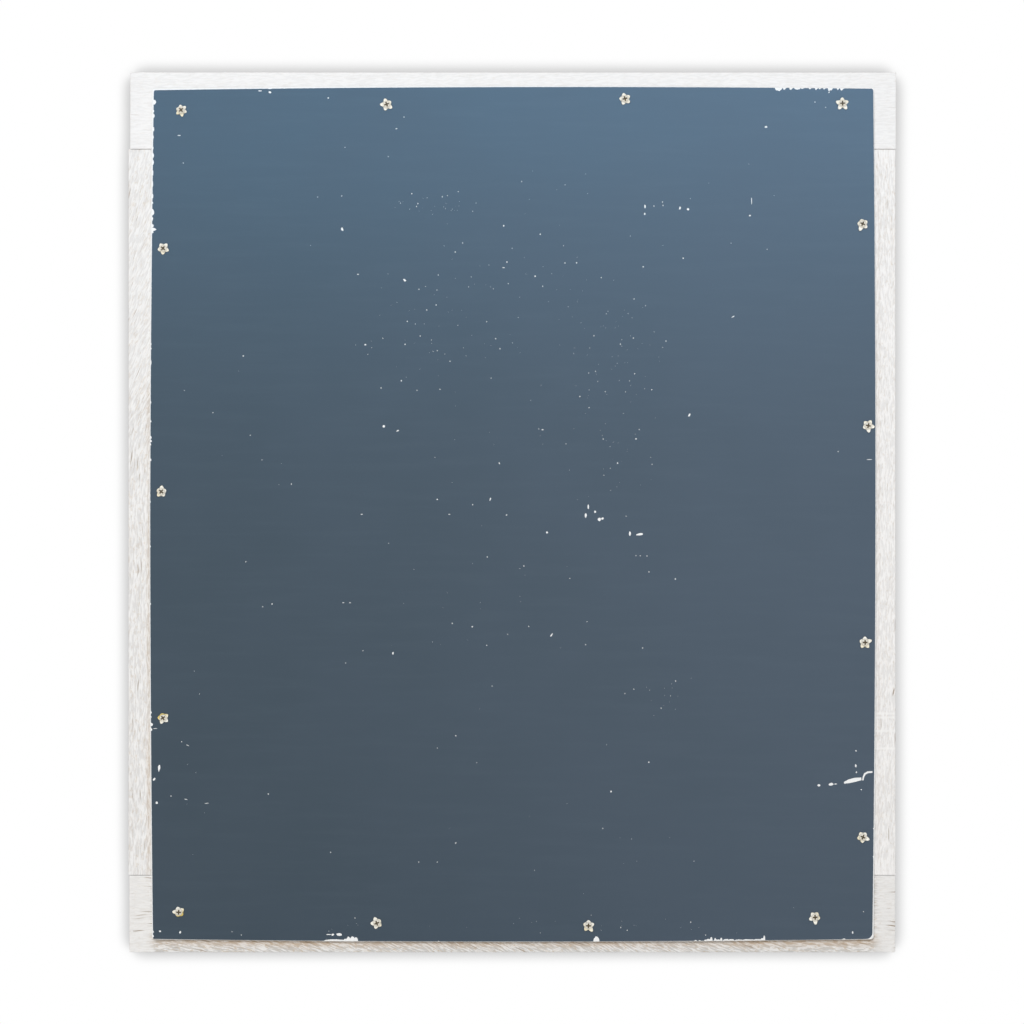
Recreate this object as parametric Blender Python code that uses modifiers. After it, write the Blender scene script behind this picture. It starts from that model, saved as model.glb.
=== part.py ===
"""Wall chalkboard: a painted panel held on a four-board frame by flower rosettes.

Two rails over and under two stiles are butted and dowelled into a frame. The panel lies on
the frame's front, and each petalled rosette is drawn down on it by a small cross-head screw
that goes through the panel into the board behind. Two strap hangers with swinging D rings
are screwed to the backs of the stiles, and two rubber pads on the bottom rail stand as far
off the back as the hangers do, so that the board hangs parallel to the wall.

Lengths are in metres. +X is to the right seen from the front, the writing face looks along
-Y and +Z is up. The origin is in the plane of the frame's back, midway between the pivots
of the two rings.
"""

import math

import bmesh
import bpy
from mathutils import Matrix, Vector

# Running gap between pieces that seat on or in each other
SEAT_GAP = 0.0003

# Frame boards
FRAME_WIDTH = 0.700
STILE_LENGTH = 0.6624
STILE_WIDTH = 0.070
RAIL_WIDTH = 0.070
# How much shorter the rails were sawn than the frame is wide
RAIL_SHORTFALL = 0.001
BOARD_THICKNESS = 0.018
BOARD_EDGE_RADIUS = 0.0006
# The rails were fixed a little to the right of the stiles
TOP_RAIL_SLIP = 0.0010
BOTTOM_RAIL_SLIP = 0.0003

# Dowels, two to each corner joint
DOWEL_RADIUS = 0.004
DOWEL_LENGTH = 0.036
DOWEL_SPACING = 0.034
DOWEL_FLUTES = 8
DOWEL_FLUTE_DEPTH = 0.0004
DOWEL_CHAMFER = 0.0006
DOWEL_GLUE_SPACE = 0.0008

# Writing panel, set back from the frame's outer edges by these margins at its corners
PANEL_THICKNESS = 0.006
PANEL_LEFT_MARGIN = 0.0220
PANEL_RIGHT_MARGIN = 0.0205
PANEL_TOP_MARGIN = 0.0151
PANEL_BOTTOM_MARGIN = 0.0123
# The panel was sawn by hand, and its edges swell out by this much in their middles
PANEL_BELLY = 0.0023
PANEL_BELLY_STEPS = 4
PANEL_CORNER_RADIUS = 0.003
PANEL_EDGE_RADIUS = 0.0006

# Rosette screws, with a raised countersunk head and a cross recess
SCREW_SHANK_RADIUS = 0.00145
SCREW_HEAD_RADIUS = 0.0030
SCREW_DOME = 0.0008
# How deep the screw goes into the frame board, its point included
SCREW_BITE = 0.0072
SCREW_POINT = 0.0030
RECESS_ARM = 0.0019
RECESS_HALF_WIDTH = 0.00042
RECESS_DEPTH = 0.0013

# Rosettes, with petals round a coned seat for the screw's head
STUD_INSET = 0.010
PETAL_LENGTH = 0.001
ROSETTE_SEAT_FLOOR = 0.0007
# The valleys between petals leave this much material round the seat's rim
ROSETTE_WALL = 0.0007
ROSETTE_SHOULDER_WIDTH = 0.0006
ROSETTE_SHOULDER_DROP = 0.0008
ROSETTE_EDGE = 0.0007
# A petal's edge lifts off the panel by this share of its length
PETAL_CURL = 0.25
# The outline of a petal is a cosine wave to this power, so above 1 its tip is more pointed
PETAL_POINT = 1.2
PETAL_STEPS = 3

# Strap hangers: a folded steel strip round the ring's straight bar
HANGER_BELOW_JOINT = 0.030
STRAP_WIDTH = 0.010
STRAP_THICKNESS = 0.0008
STRAP_LEAF_GAP = 0.00015
STRAP_HOLE_DROP = 0.0072
# The strip wraps the bar from its back round to this angle, in degrees up from straight out
STRAP_WRAP = 150
STRAP_BEND_STEPS = 12
RING_WIRE_RADIUS = 0.0012
RING_HALF_WIDTH = 0.0115
RING_DROP = 0.0215
RING_CORNER_RADIUS = 0.0024
RING_CORNER_STEPS = 4
RING_BOW_STEPS = 16
RING_CLEARANCE = 0.0002

# Hanger screws, round headed
HANGER_SCREW_RADIUS = 0.0015
HANGER_SCREW_HEAD_RADIUS = 0.0030
HANGER_SCREW_HEAD_HEIGHT = 0.0018
HANGER_SCREW_BITE = 0.0100
HANGER_SCREW_POINT = 0.0025
HANGER_RECESS_DEPTH = 0.0011

# Rubber wall pads
PAD_RADIUS = 0.006
PAD_EDGE_RADIUS = 0.0008
PAD_SIDE_INSET = 0.030
PAD_BOTTOM_INSET = 0.020
PAD_SEGMENTS = 24

BORE_SEGMENTS = 12
TURNED_STEPS = 12
MERGE = 0.00001

# Each rosette: its place along its edge of the panel as a share of the edge, its distance in
# from that edge over STUD_INSET, the direction of its first petal in degrees, and how far its
# petals reach beyond the valleys over PETAL_LENGTH, going anticlockwise as seen from the front.
# The maker set them out by eye.
STUDS = {
    "top": (
        (0.0406, 2.02, 40, (1.6, 1.1, 0.7, 1.7, 2.2, 1.4)),
        (0.3253, 1.50, 109, (1.8, 2.2, 1.8, 2.1, 0.9)),
        (0.6552, 0.99, 105, (1.5, 1.1, 1.7, 1.7, 1.4)),
        (0.9565, 1.41, 92, (1.6, 2.3, 2.5, 2.7, 1.9)),
    ),
    "right": (
        (0.1596, 1.03, 247, (3.0, 1.6, 1.1, 0.5, 0.6)),
        (0.3965, 0.52, -12, (2.2, 1.7, 1.3, 1.1, 2.5)),
        (0.6510, 0.81, 90, (1.5, 1.1, 2.0, 2.1, 2.6)),
        (0.8795, 1.01, -22, (2.7, 1.0, 1.0, 1.2, 1.4)),
    ),
    "bottom": (
        (0.0374, 2.51, 177, (2.0, 0.3, 0.8, 1.4, 1.0)),
        (0.3116, 1.51, 112, (1.9, 1.8, 1.4, 0.9, 0.5)),
        (0.6047, 1.28, 88, (1.1, 0.8, 1.7, 2.6, 1.5)),
        (0.9185, 2.05, 275, (2.9, 0.8, 1.0, 1.2, 1.9)),
    ),
    "left": (
        (0.1884, 1.03, 50, (1.7, 1.2, 1.1, 1.7, 1.6)),
        (0.4739, 0.87, 230, (1.6, 1.1, 0.6, 1.6, 0.4)),
        (0.7396, 1.02, 34, (1.5, 0.3, 1.0, 1.7, 1.6)),
    ),
}

# Levels of the frame and the panel, worked out from the sizes above
RAIL_LENGTH = FRAME_WIDTH - RAIL_SHORTFALL
TOP_JOINT = HANGER_BELOW_JOINT
FRAME_TOP = TOP_JOINT + SEAT_GAP / 2 + RAIL_WIDTH
BOTTOM_JOINT = TOP_JOINT - STILE_LENGTH - SEAT_GAP
FRAME_BOTTOM = BOTTOM_JOINT - RAIL_WIDTH - SEAT_GAP / 2
STILE_MIDDLE = (TOP_JOINT + BOTTOM_JOINT) / 2
STILE_SIDE = FRAME_WIDTH / 2 - STILE_WIDTH / 2
BOARD_MIDDLE = -BOARD_THICKNESS / 2
PANEL_LEFT = -FRAME_WIDTH / 2 + PANEL_LEFT_MARGIN
PANEL_RIGHT = FRAME_WIDTH / 2 - PANEL_RIGHT_MARGIN
PANEL_TOP = FRAME_TOP - PANEL_TOP_MARGIN
PANEL_BOTTOM = FRAME_BOTTOM + PANEL_BOTTOM_MARGIN
PANEL_BACK = -BOARD_THICKNESS - SEAT_GAP
PANEL_FACE = PANEL_BACK - PANEL_THICKNESS
ROSETTE_BACK = PANEL_FACE - SEAT_GAP
SCREW_BORE_RADIUS = SCREW_SHANK_RADIUS + SEAT_GAP
SCREW_CONE = SCREW_HEAD_RADIUS - SCREW_SHANK_RADIUS
# The seat's cone runs parallel to the head's, both at 45 degrees, one seat gap out from it
SEAT_RIM_RADIUS = SCREW_HEAD_RADIUS + SEAT_GAP
ROSETTE_CREST = ROSETTE_SEAT_FLOOR + SCREW_CONE
ROSETTE_VALLEY = SEAT_RIM_RADIUS + ROSETTE_WALL
SCREW_HEAD_LEVEL = ROSETTE_BACK - ROSETTE_CREST
SCREW_TIP = -BOARD_THICKNESS + SCREW_BITE
SCREW_LENGTH = SCREW_TIP - SCREW_HEAD_LEVEL
# Levels of a hanger over the frame's back
LEAF_LEVEL = SEAT_GAP + STRAP_THICKNESS / 2
LOOP_RADIUS = RING_WIRE_RADIUS + RING_CLEARANCE + STRAP_THICKNESS / 2
PIVOT_LEVEL = LEAF_LEVEL + LOOP_RADIUS
TOP_LEAF_LEVEL = LEAF_LEVEL + STRAP_THICKNESS + STRAP_LEAF_GAP
HANGER_HEIGHT = PIVOT_LEVEL + LOOP_RADIUS + STRAP_THICKNESS / 2
HANGER_SCREW_SEAT = TOP_LEAF_LEVEL + STRAP_THICKNESS / 2 + SEAT_GAP
HANGER_SCREW_LENGTH = HANGER_SCREW_SEAT + HANGER_SCREW_BITE

# Rotations that turn a piece's own +Z to the front or to the back of the board
TO_FRONT = (math.radians(90), 0, 0)
TO_BACK = (math.radians(90), 0, math.radians(180))


def empty_scene():
    for leftover in list(bpy.data.objects):
        bpy.data.objects.remove(leftover, do_unlink=True)


def new_collection(name):
    collection = bpy.data.collections.new(name)
    bpy.context.scene.collection.children.link(collection)
    return collection


def finish(name, colour, roughness, metallic=0.0):
    """A plain Principled material."""
    material = bpy.data.materials.new(name)
    material.use_nodes = True
    shader = material.node_tree.nodes["Principled BSDF"]
    shader.inputs["Base Color"].default_value = (*colour, 1.0)
    shader.inputs["Roughness"].default_value = roughness
    shader.inputs["Metallic"].default_value = metallic
    return material


def add_object(name, data, collection, material=None):
    piece = bpy.data.objects.new(name, data)
    collection.objects.link(piece)
    if material:
        data.materials.clear()
        data.materials.append(material)
    return piece


def mesh_from(name, work):
    mesh = bpy.data.meshes.new(name)
    bmesh.ops.recalc_face_normals(work, faces=work.faces)
    work.to_mesh(mesh)
    work.free()
    return mesh


def box(name, width, depth, height):
    work = bmesh.new()
    bmesh.ops.create_cube(work, size=1.0, matrix=Matrix.Diagonal((width, depth, height, 1.0)))
    return mesh_from(name, work)


def cylinder(name, radius, length, segments):
    work = bmesh.new()
    bmesh.ops.create_cone(
        work, cap_ends=True, segments=segments, radius1=radius, radius2=radius, depth=length
    )
    return mesh_from(name, work)


def arc(centre, radius, start, end, steps):
    """Points on an arc in the plane, both ends included, with the angles in degrees."""
    angles = [math.radians(start + (end - start) * i / steps) for i in range(steps + 1)]
    return [(centre[0] + radius * math.cos(a), centre[1] + radius * math.sin(a)) for a in angles]


def evaluated_mesh(piece):
    """The piece's mesh with its modifiers applied and a curve's caps welded on."""
    bpy.context.view_layer.update()
    graph = bpy.context.evaluated_depsgraph_get()
    mesh = bpy.data.meshes.new_from_object(piece.evaluated_get(graph))
    work = bmesh.new()
    work.from_mesh(mesh)
    bmesh.ops.remove_doubles(work, verts=work.verts, dist=MERGE)
    work.to_mesh(mesh)
    work.free()
    return mesh


def prism(name, outline, depth, chamfer=0.0):
    """A flat outline extruded to a depth, centred on its own plane, as a mesh."""
    curve = bpy.data.curves.new(name, "CURVE")
    curve.dimensions = "2D"
    curve.fill_mode = "BOTH"
    curve.extrude = depth / 2 - chamfer
    curve.bevel_depth = chamfer
    curve.offset = -chamfer
    curve.bevel_resolution = 0
    spline = curve.splines.new("POLY")
    spline.points.add(len(outline) - 1)
    for point, (x, y) in zip(spline.points, outline):
        point.co = (x, y, 0.0, 1.0)
    spline.use_cyclic_u = True
    guide = add_object(name + "_guide", curve, bpy.context.scene.collection)
    mesh = evaluated_mesh(guide)
    mesh.name = name
    bpy.data.objects.remove(guide, do_unlink=True)
    return mesh


def turned(name, profile, steps):
    """A profile of (radius, level) points, run down its outer side, turned about Z as a mesh."""
    mesh = bpy.data.meshes.new(name)
    points = [(radius, 0.0, level) for radius, level in profile]
    mesh.from_pydata(points, [(i, i + 1) for i in range(len(points) - 1)], [])
    guide = add_object(name + "_guide", mesh, bpy.context.scene.collection)
    turn = guide.modifiers.new("turn", "SCREW")
    turn.steps = steps
    turn.render_steps = steps
    turn.use_merge_vertices = True
    turn.merge_threshold = MERGE
    made = evaluated_mesh(guide)
    made.name = name
    bpy.data.objects.remove(guide, do_unlink=True)
    return made


def smooth(mesh, angle=35):
    mesh.shade_smooth()
    mesh.set_sharp_from_angle(angle=math.radians(angle))


def round_edges(piece, width, segments=2):
    bevel = piece.modifiers.new("round_edges", "BEVEL")
    bevel.width = width
    bevel.segments = segments
    bevel.limit_method = "ANGLE"


def add_cutter(name, mesh, cutters, place, turn=(0, 0, 0)):
    cutter = add_object(name, mesh, cutters)
    cutter.location = place
    cutter.rotation_euler = turn
    cutter.hide_render = True
    cutter.display_type = "WIRE"
    return cutter


def cut(piece, cutters):
    """Cuts every object of a collection out of the piece."""
    hole = piece.modifiers.new("cut_" + cutters.name, "BOOLEAN")
    hole.operation = "DIFFERENCE"
    hole.operand_type = "COLLECTION"
    hole.collection = cutters


def stud_places():
    """Every rosette as (name, x, z, turn, petal lengths), from the panel's edges."""
    width = PANEL_RIGHT - PANEL_LEFT
    height = PANEL_TOP - PANEL_BOTTOM
    found = []
    for side, studs in STUDS.items():
        for number, (share, in_by, turn, lengths) in enumerate(studs, 1):
            inset = in_by * STUD_INSET
            x = PANEL_LEFT + share * width
            z = PANEL_TOP - share * height
            if side == "top":
                z = PANEL_TOP - inset
            elif side == "bottom":
                z = PANEL_BOTTOM + inset
            elif side == "left":
                x = PANEL_LEFT + inset
            else:
                x = PANEL_RIGHT - inset
            found.append((f"{side}_{number}", x, z, turn, lengths))
    return found


def dowel_places():
    """Every dowel as (name, x, z), on the joint that it crosses."""
    found = []
    for level, joint in (("top", TOP_JOINT), ("bottom", BOTTOM_JOINT)):
        for side, way in (("left", -1), ("right", 1)):
            for row, shift in (("outer", 0.5), ("inner", -0.5)):
                x = way * (STILE_SIDE + shift * DOWEL_SPACING)
                found.append((f"{level}_{side}_{row}", x, joint))
    return found


def screw_bores():
    """Straight bores for the rosette screws, from in front of the panel to past their points."""
    bores = new_collection("screw_bores")
    start = PANEL_FACE - PANEL_THICKNESS
    end = SCREW_TIP + SEAT_GAP * 2
    mesh = cylinder("screw_bore", SCREW_BORE_RADIUS, end - start, BORE_SEGMENTS)
    for name, x, z, _, _ in stud_places():
        add_cutter("bore_" + name, mesh, bores, (x, (start + end) / 2, z), TO_FRONT)
    return bores


def dowel_bores():
    bores = new_collection("dowel_bores")
    length = DOWEL_LENGTH + 2 * DOWEL_GLUE_SPACE
    mesh = cylinder("dowel_bore", DOWEL_RADIUS + SEAT_GAP, length, BORE_SEGMENTS)
    for name, x, z in dowel_places():
        add_cutter("bore_dowel_" + name, mesh, bores, (x, BOARD_MIDDLE, z))
    return bores


def hanger_bores():
    """Pilot holes for the hanger screws, in from the frame's back."""
    bores = new_collection("hanger_bores")
    start = -HANGER_SCREW_BITE - SEAT_GAP * 2
    end = HANGER_HEIGHT
    mesh = cylinder("hanger_bore", HANGER_SCREW_RADIUS + SEAT_GAP, end - start, BORE_SEGMENTS)
    for name, x in (("left", -STILE_SIDE), ("right", STILE_SIDE)):
        place = (x, (start + end) / 2, -STRAP_HOLE_DROP)
        add_cutter("bore_hanger_" + name, mesh, bores, place, TO_FRONT)
    return bores


def add_board(name, width, height, place, parts, oak, bores):
    board = add_object(name, box(name, width, BOARD_THICKNESS, height), parts, oak)
    board.location = place
    round_edges(board, BOARD_EDGE_RADIUS)
    for cutters in bores:
        cut(board, cutters)


def add_frame(parts, oak, stud_bores, peg_bores, back_bores):
    """Two full-length rails over and under two stiles."""
    top_middle = FRAME_TOP - RAIL_WIDTH / 2
    bottom_middle = FRAME_BOTTOM + RAIL_WIDTH / 2
    rails = (
        ("top_rail", TOP_RAIL_SLIP, top_middle),
        ("bottom_rail", BOTTOM_RAIL_SLIP, bottom_middle),
    )
    for name, slip, z in rails:
        place = (slip, BOARD_MIDDLE, z)
        add_board(name, RAIL_LENGTH, RAIL_WIDTH, place, parts, oak, (stud_bores, peg_bores))
    for name, x in (("left_stile", -STILE_SIDE), ("right_stile", STILE_SIDE)):
        place = (x, BOARD_MIDDLE, STILE_MIDDLE)
        bores = (stud_bores, peg_bores, back_bores)
        add_board(name, STILE_WIDTH, STILE_LENGTH, place, parts, oak, bores)


def add_dowels(parts, beech):
    """Fluted dowels with chamfered ends, standing across the joints."""
    outline = []
    for i in range(2 * DOWEL_FLUTES):
        angle = math.pi * i / DOWEL_FLUTES
        radius = DOWEL_RADIUS - (DOWEL_FLUTE_DEPTH if i % 2 else 0.0)
        outline.append((radius * math.cos(angle), radius * math.sin(angle)))
    mesh = prism("dowel", outline, DOWEL_LENGTH, DOWEL_CHAMFER)
    for name, x, z in dowel_places():
        dowel = add_object("dowel_" + name, mesh, parts, beech)
        dowel.location = (x, BOARD_MIDDLE, z)


def bellied_rectangle(width, height, radius, belly, steps=5):
    """A rectangle with rounded corners and gently swollen edges, anticlockwise."""
    outline = []
    sides = (
        (1, 1, 0, width, height),
        (-1, 1, 90, height, width),
        (-1, -1, 180, width, height),
        (1, -1, 270, height, width),
    )
    for right, up, start, length, across in sides:
        centre = (right * (width / 2 - radius), up * (height / 2 - radius))
        outline += arc(centre, radius, start, start + 90, steps)
        # The edge from this corner to the next
        angle = math.radians(start + 90)
        out = Vector((math.cos(angle), math.sin(angle)))
        along = Vector((-out.y, out.x))
        for i in range(1, PANEL_BELLY_STEPS):
            share = 2 * i / PANEL_BELLY_STEPS - 1
            reach = across / 2 + belly * (1 - share**2)
            outline.append(tuple(out * reach + along * share * (length / 2 - radius)))
    return outline


def add_panel(parts, slate, stud_bores):
    """The painted board, drilled for every rosette screw."""
    width = PANEL_RIGHT - PANEL_LEFT
    height = PANEL_TOP - PANEL_BOTTOM
    outline = bellied_rectangle(width, height, PANEL_CORNER_RADIUS, PANEL_BELLY)
    mesh = prism("writing_panel", outline, PANEL_THICKNESS, PANEL_EDGE_RADIUS)
    panel = add_object("writing_panel", mesh, parts, slate)
    middle = (PANEL_BACK + PANEL_FACE) / 2
    panel.location = ((PANEL_LEFT + PANEL_RIGHT) / 2, middle, (PANEL_TOP + PANEL_BOTTOM) / 2)
    panel.rotation_euler = TO_FRONT
    cut(panel, stud_bores)


def petal_rim(turn, lengths):
    """The rosette's rim as (angle, petal length there), from a valley up to each tip and down."""
    rim = []
    sector = math.tau / len(lengths)
    for number, length in enumerate(lengths):
        middle = math.radians(turn) + sector * number
        for step in range(-PETAL_STEPS, PETAL_STEPS):
            way = step / PETAL_STEPS
            bulge = ((1 + math.cos(math.pi * way)) / 2) ** PETAL_POINT
            rim.append((middle + way * sector / 2, length * PETAL_LENGTH * bulge))
    return rim


def rosette_section(length):
    """Section through one rim point as (radius, level), round from the foot of the bore."""
    reach = ROSETTE_VALLEY + length
    lift = PETAL_CURL * length
    return (
        (SCREW_BORE_RADIUS, 0.0),
        (reach, lift),
        (reach, lift + ROSETTE_EDGE),
        (SEAT_RIM_RADIUS + ROSETTE_SHOULDER_WIDTH, ROSETTE_CREST - ROSETTE_SHOULDER_DROP),
        (SEAT_RIM_RADIUS, ROSETTE_CREST),
        (SCREW_BORE_RADIUS, ROSETTE_SEAT_FLOOR),
    )


def rosette_mesh(name, turn, lengths):
    """A closed loft whose section changes with the petals' reach all the way round."""
    work = bmesh.new()
    sections = []
    for angle, length in petal_rim(turn, lengths):
        points = rosette_section(length)
        ring = [work.verts.new((r * math.cos(angle), r * math.sin(angle), z)) for r, z in points]
        sections.append(ring)
    for section, following in zip(sections, sections[1:] + sections[:1]):
        for i in range(len(section)):
            before = i - 1
            work.faces.new((section[before], section[i], following[i], following[before]))
    return mesh_from(name, work)


def add_rosettes(parts, ivory):
    for name, x, z, turn, lengths in stud_places():
        mesh = rosette_mesh("rosette_" + name, turn, lengths)
        smooth(mesh)
        rosette = add_object("rosette_" + name, mesh, parts, ivory)
        rosette.location = (x, ROSETTE_BACK, z)
        rosette.rotation_euler = TO_FRONT


def cross_outline(arm, half):
    """A plus sign, anticlockwise from its right arm."""
    quarter = [(arm, -half), (arm, half), (half, half)]
    outline = []
    for turn in range(4):
        spin = Matrix.Rotation(math.pi / 2 * turn, 2)
        outline += [tuple(spin @ Vector(point)) for point in quarter]
    return outline


def screw_mesh(name, dome, cone, shank_radius, length, point, recess_depth):
    """A screw on +Z with its head's rim at zero and a cross recess sunk from the dome's top."""
    head_radius, dome_height = dome
    angles = [math.radians(a) for a in (0, 30, 60, 90)]
    profile = [(head_radius * math.sin(a), dome_height * math.cos(a)) for a in angles]
    profile += [(shank_radius, -cone), (shank_radius, point - length), (0.0, -length)]
    blank = add_object(name, turned(name, profile, TURNED_STEPS), bpy.context.scene.collection)
    cutters = new_collection(name + "_recess")
    recess = prism(name + "_recess", cross_outline(RECESS_ARM, RECESS_HALF_WIDTH), recess_depth * 2)
    add_cutter(name + "_recess", recess, cutters, (0, 0, dome_height))
    cut(blank, cutters)
    mesh = evaluated_mesh(blank)
    bpy.data.objects.remove(blank, do_unlink=True)
    smooth(mesh)
    return mesh


def add_rosette_screws(parts, screw_paint):
    """Raised countersunk screws, each head in its rosette's cone."""
    dome = (SCREW_HEAD_RADIUS, SCREW_DOME)
    mesh = screw_mesh(
        "rosette_screw",
        dome,
        SCREW_CONE,
        SCREW_SHANK_RADIUS,
        SCREW_LENGTH,
        SCREW_POINT,
        RECESS_DEPTH,
    )
    for name, x, z, turn, _ in stud_places():
        screw = add_object("screw_" + name, mesh, parts, screw_paint)
        screw.location = (x, SCREW_HEAD_LEVEL, z)
        screw.rotation_euler = (TO_FRONT[0], math.radians(-turn), 0)


def strap_path():
    """The folded strip's middle line in (up, out): the lower leaf, the loop and the upper leaf."""
    tail = -STRAP_HOLE_DROP - STRAP_WIDTH / 2
    loop = arc((0.0, PIVOT_LEVEL), LOOP_RADIUS, -90, STRAP_WRAP, STRAP_BEND_STEPS)
    up, out = loop[-1]
    run = (out - TOP_LEAF_LEVEL) / math.tan(math.radians(STRAP_WRAP - 90))
    return [(tail, LEAF_LEVEL), *loop, (up - run, TOP_LEAF_LEVEL), (tail, TOP_LEAF_LEVEL)]


def add_strap(name, place, parts, steel, bores, outlines):
    """A strip folded round the ring's bar, with a rounded tail and a hole through both leaves."""
    work = bmesh.new()
    half = STRAP_WIDTH / 2
    line = [work.verts.new((-half, up, out)) for up, out in strap_path()]
    edges = [work.edges.new(pair) for pair in zip(line, line[1:])]
    swept = bmesh.ops.extrude_edge_only(work, edges=edges)["geom"]
    moved = [item for item in swept if isinstance(item, bmesh.types.BMVert)]
    bmesh.ops.translate(work, verts=moved, vec=(STRAP_WIDTH, 0, 0))
    strap = add_object(name, mesh_from(name, work), parts, steel)
    strap.location = place
    strap.rotation_euler = TO_BACK
    sheet = strap.modifiers.new("sheet", "SOLIDIFY")
    sheet.thickness = STRAP_THICKNESS
    sheet.offset = 0.0
    sheet.use_even_offset = True
    outline = [(half, LOOP_RADIUS * 2), (-half, LOOP_RADIUS * 2)]
    outline += arc((0.0, -STRAP_HOLE_DROP), half - MERGE, 180, 360, 10)
    mesh = prism(name + "_outline", outline, HANGER_HEIGHT * 4)
    blank = add_cutter(name + "_outline", mesh, outlines, place, TO_BACK)
    trim = strap.modifiers.new("rounded_tail", "BOOLEAN")
    trim.operation = "INTERSECT"
    trim.object = blank
    cut(strap, bores)


def ring_path():
    """The D ring's middle line, hanging down from its straight bar on the X axis."""
    half = RING_HALF_WIDTH
    corner = RING_CORNER_RADIUS
    path = arc((half - corner, -corner), corner, 90, 0, RING_CORNER_STEPS)
    path += arc((0.0, half - RING_DROP), half, 0, -180, RING_BOW_STEPS)
    path += arc((corner - half, -corner), corner, 180, 90, RING_CORNER_STEPS)
    return path


def add_ring(name, pivot, parts, steel):
    """A wire D ring whose origin is on its pivot, the middle of the straight bar."""
    curve = bpy.data.curves.new(name, "CURVE")
    curve.dimensions = "3D"
    curve.bevel_depth = RING_WIRE_RADIUS
    curve.bevel_resolution = 3
    path = ring_path()
    spline = curve.splines.new("POLY")
    spline.points.add(len(path) - 1)
    for point, (x, y) in zip(spline.points, path):
        point.co = (x, y, 0.0, 1.0)
    spline.use_cyclic_u = True
    guide = add_object(name + "_guide", curve, bpy.context.scene.collection)
    mesh = evaluated_mesh(guide)
    bpy.data.objects.remove(guide, do_unlink=True)
    smooth(mesh)
    ring = add_object(name, mesh, parts, steel)
    ring.rotation_euler = TO_BACK
    ring.parent = pivot


def add_hangers(parts, steel, back_bores):
    """A strap, a ring and a round-headed screw on the back of each stile."""
    dome = (HANGER_SCREW_HEAD_RADIUS, HANGER_SCREW_HEAD_HEIGHT)
    mesh = screw_mesh(
        "hanger_screw",
        dome,
        0.0,
        HANGER_SCREW_RADIUS,
        HANGER_SCREW_LENGTH,
        HANGER_SCREW_POINT,
        HANGER_RECESS_DEPTH,
    )
    outlines = new_collection("strap_outlines")
    for side, x in (("left", -STILE_SIDE), ("right", STILE_SIDE)):
        add_strap("hanger_strap_" + side, (x, 0, 0), parts, steel, back_bores, outlines)
        pivot = add_object("ring_pivot_" + side, None, parts)
        pivot.location = (x, PIVOT_LEVEL, 0)
        add_ring("hanger_ring_" + side, pivot, parts, steel)
        screw = add_object("hanger_screw_" + side, mesh, parts, steel)
        screw.location = (x, HANGER_SCREW_SEAT, -STRAP_HOLE_DROP)
        screw.rotation_euler = TO_BACK


def add_pads(parts, rubber):
    """Rubber pads as high off the frame's back as the hangers' loops."""
    height = HANGER_HEIGHT - SEAT_GAP
    mesh = cylinder("wall_pad", PAD_RADIUS, height, PAD_SEGMENTS)
    for side, way in (("left", -1), ("right", 1)):
        pad = add_object("wall_pad_" + side, mesh, parts, rubber)
        x = way * (FRAME_WIDTH / 2 - PAD_SIDE_INSET)
        pad.location = (x, SEAT_GAP + height / 2, FRAME_BOTTOM + PAD_BOTTOM_INSET)
        pad.rotation_euler = TO_BACK
        round_edges(pad, PAD_EDGE_RADIUS, 1)


def build():
    empty_scene()
    parts = new_collection("chalkboard")
    oak = finish("whitewashed_oak", (0.86, 0.84, 0.81), 0.6)
    slate = finish("slate_blue_chalkboard_paint", (0.11, 0.16, 0.21), 0.55)
    ivory = finish("ivory_enamel", (0.80, 0.74, 0.58), 0.4)
    screw_paint = finish("cream_enamelled_steel", (0.66, 0.60, 0.47), 0.4)
    steel = finish("zinc_plated_steel", (0.62, 0.62, 0.60), 0.35, 1.0)
    beech = finish("beech", (0.62, 0.44, 0.27), 0.7)
    rubber = finish("grey_rubber", (0.12, 0.12, 0.12), 0.8)
    stud_bores = screw_bores()
    peg_bores = dowel_bores()
    back_bores = hanger_bores()
    add_frame(parts, oak, stud_bores, peg_bores, back_bores)
    add_dowels(parts, beech)
    add_panel(parts, slate, stud_bores)
    add_rosettes(parts, ivory)
    add_rosette_screws(parts, screw_paint)
    add_hangers(parts, steel, back_bores)
    add_pads(parts, rubber)


build()
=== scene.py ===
"""Looks of the wall chalkboard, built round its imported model.

The boards, the panel and the dowels are the model's own solids with new materials. The paint
on the panel is a thin skin of its own, so that its ragged edge, bare spots and scratches are
real gaps in it. The rosettes, screws, hangers and wall pads are finer pieces that stand in
the places of the model's plain ones.

Lengths are in metres unless a name says otherwise. +X is to the right seen from the front,
-Y is out of the writing face and +Z is up.
"""

import random
from math import cos, exp, hypot, pi, radians, sin, sqrt, tan, tau

import bmesh
import bpy
from mathutils import Matrix, Vector, noise


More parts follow.
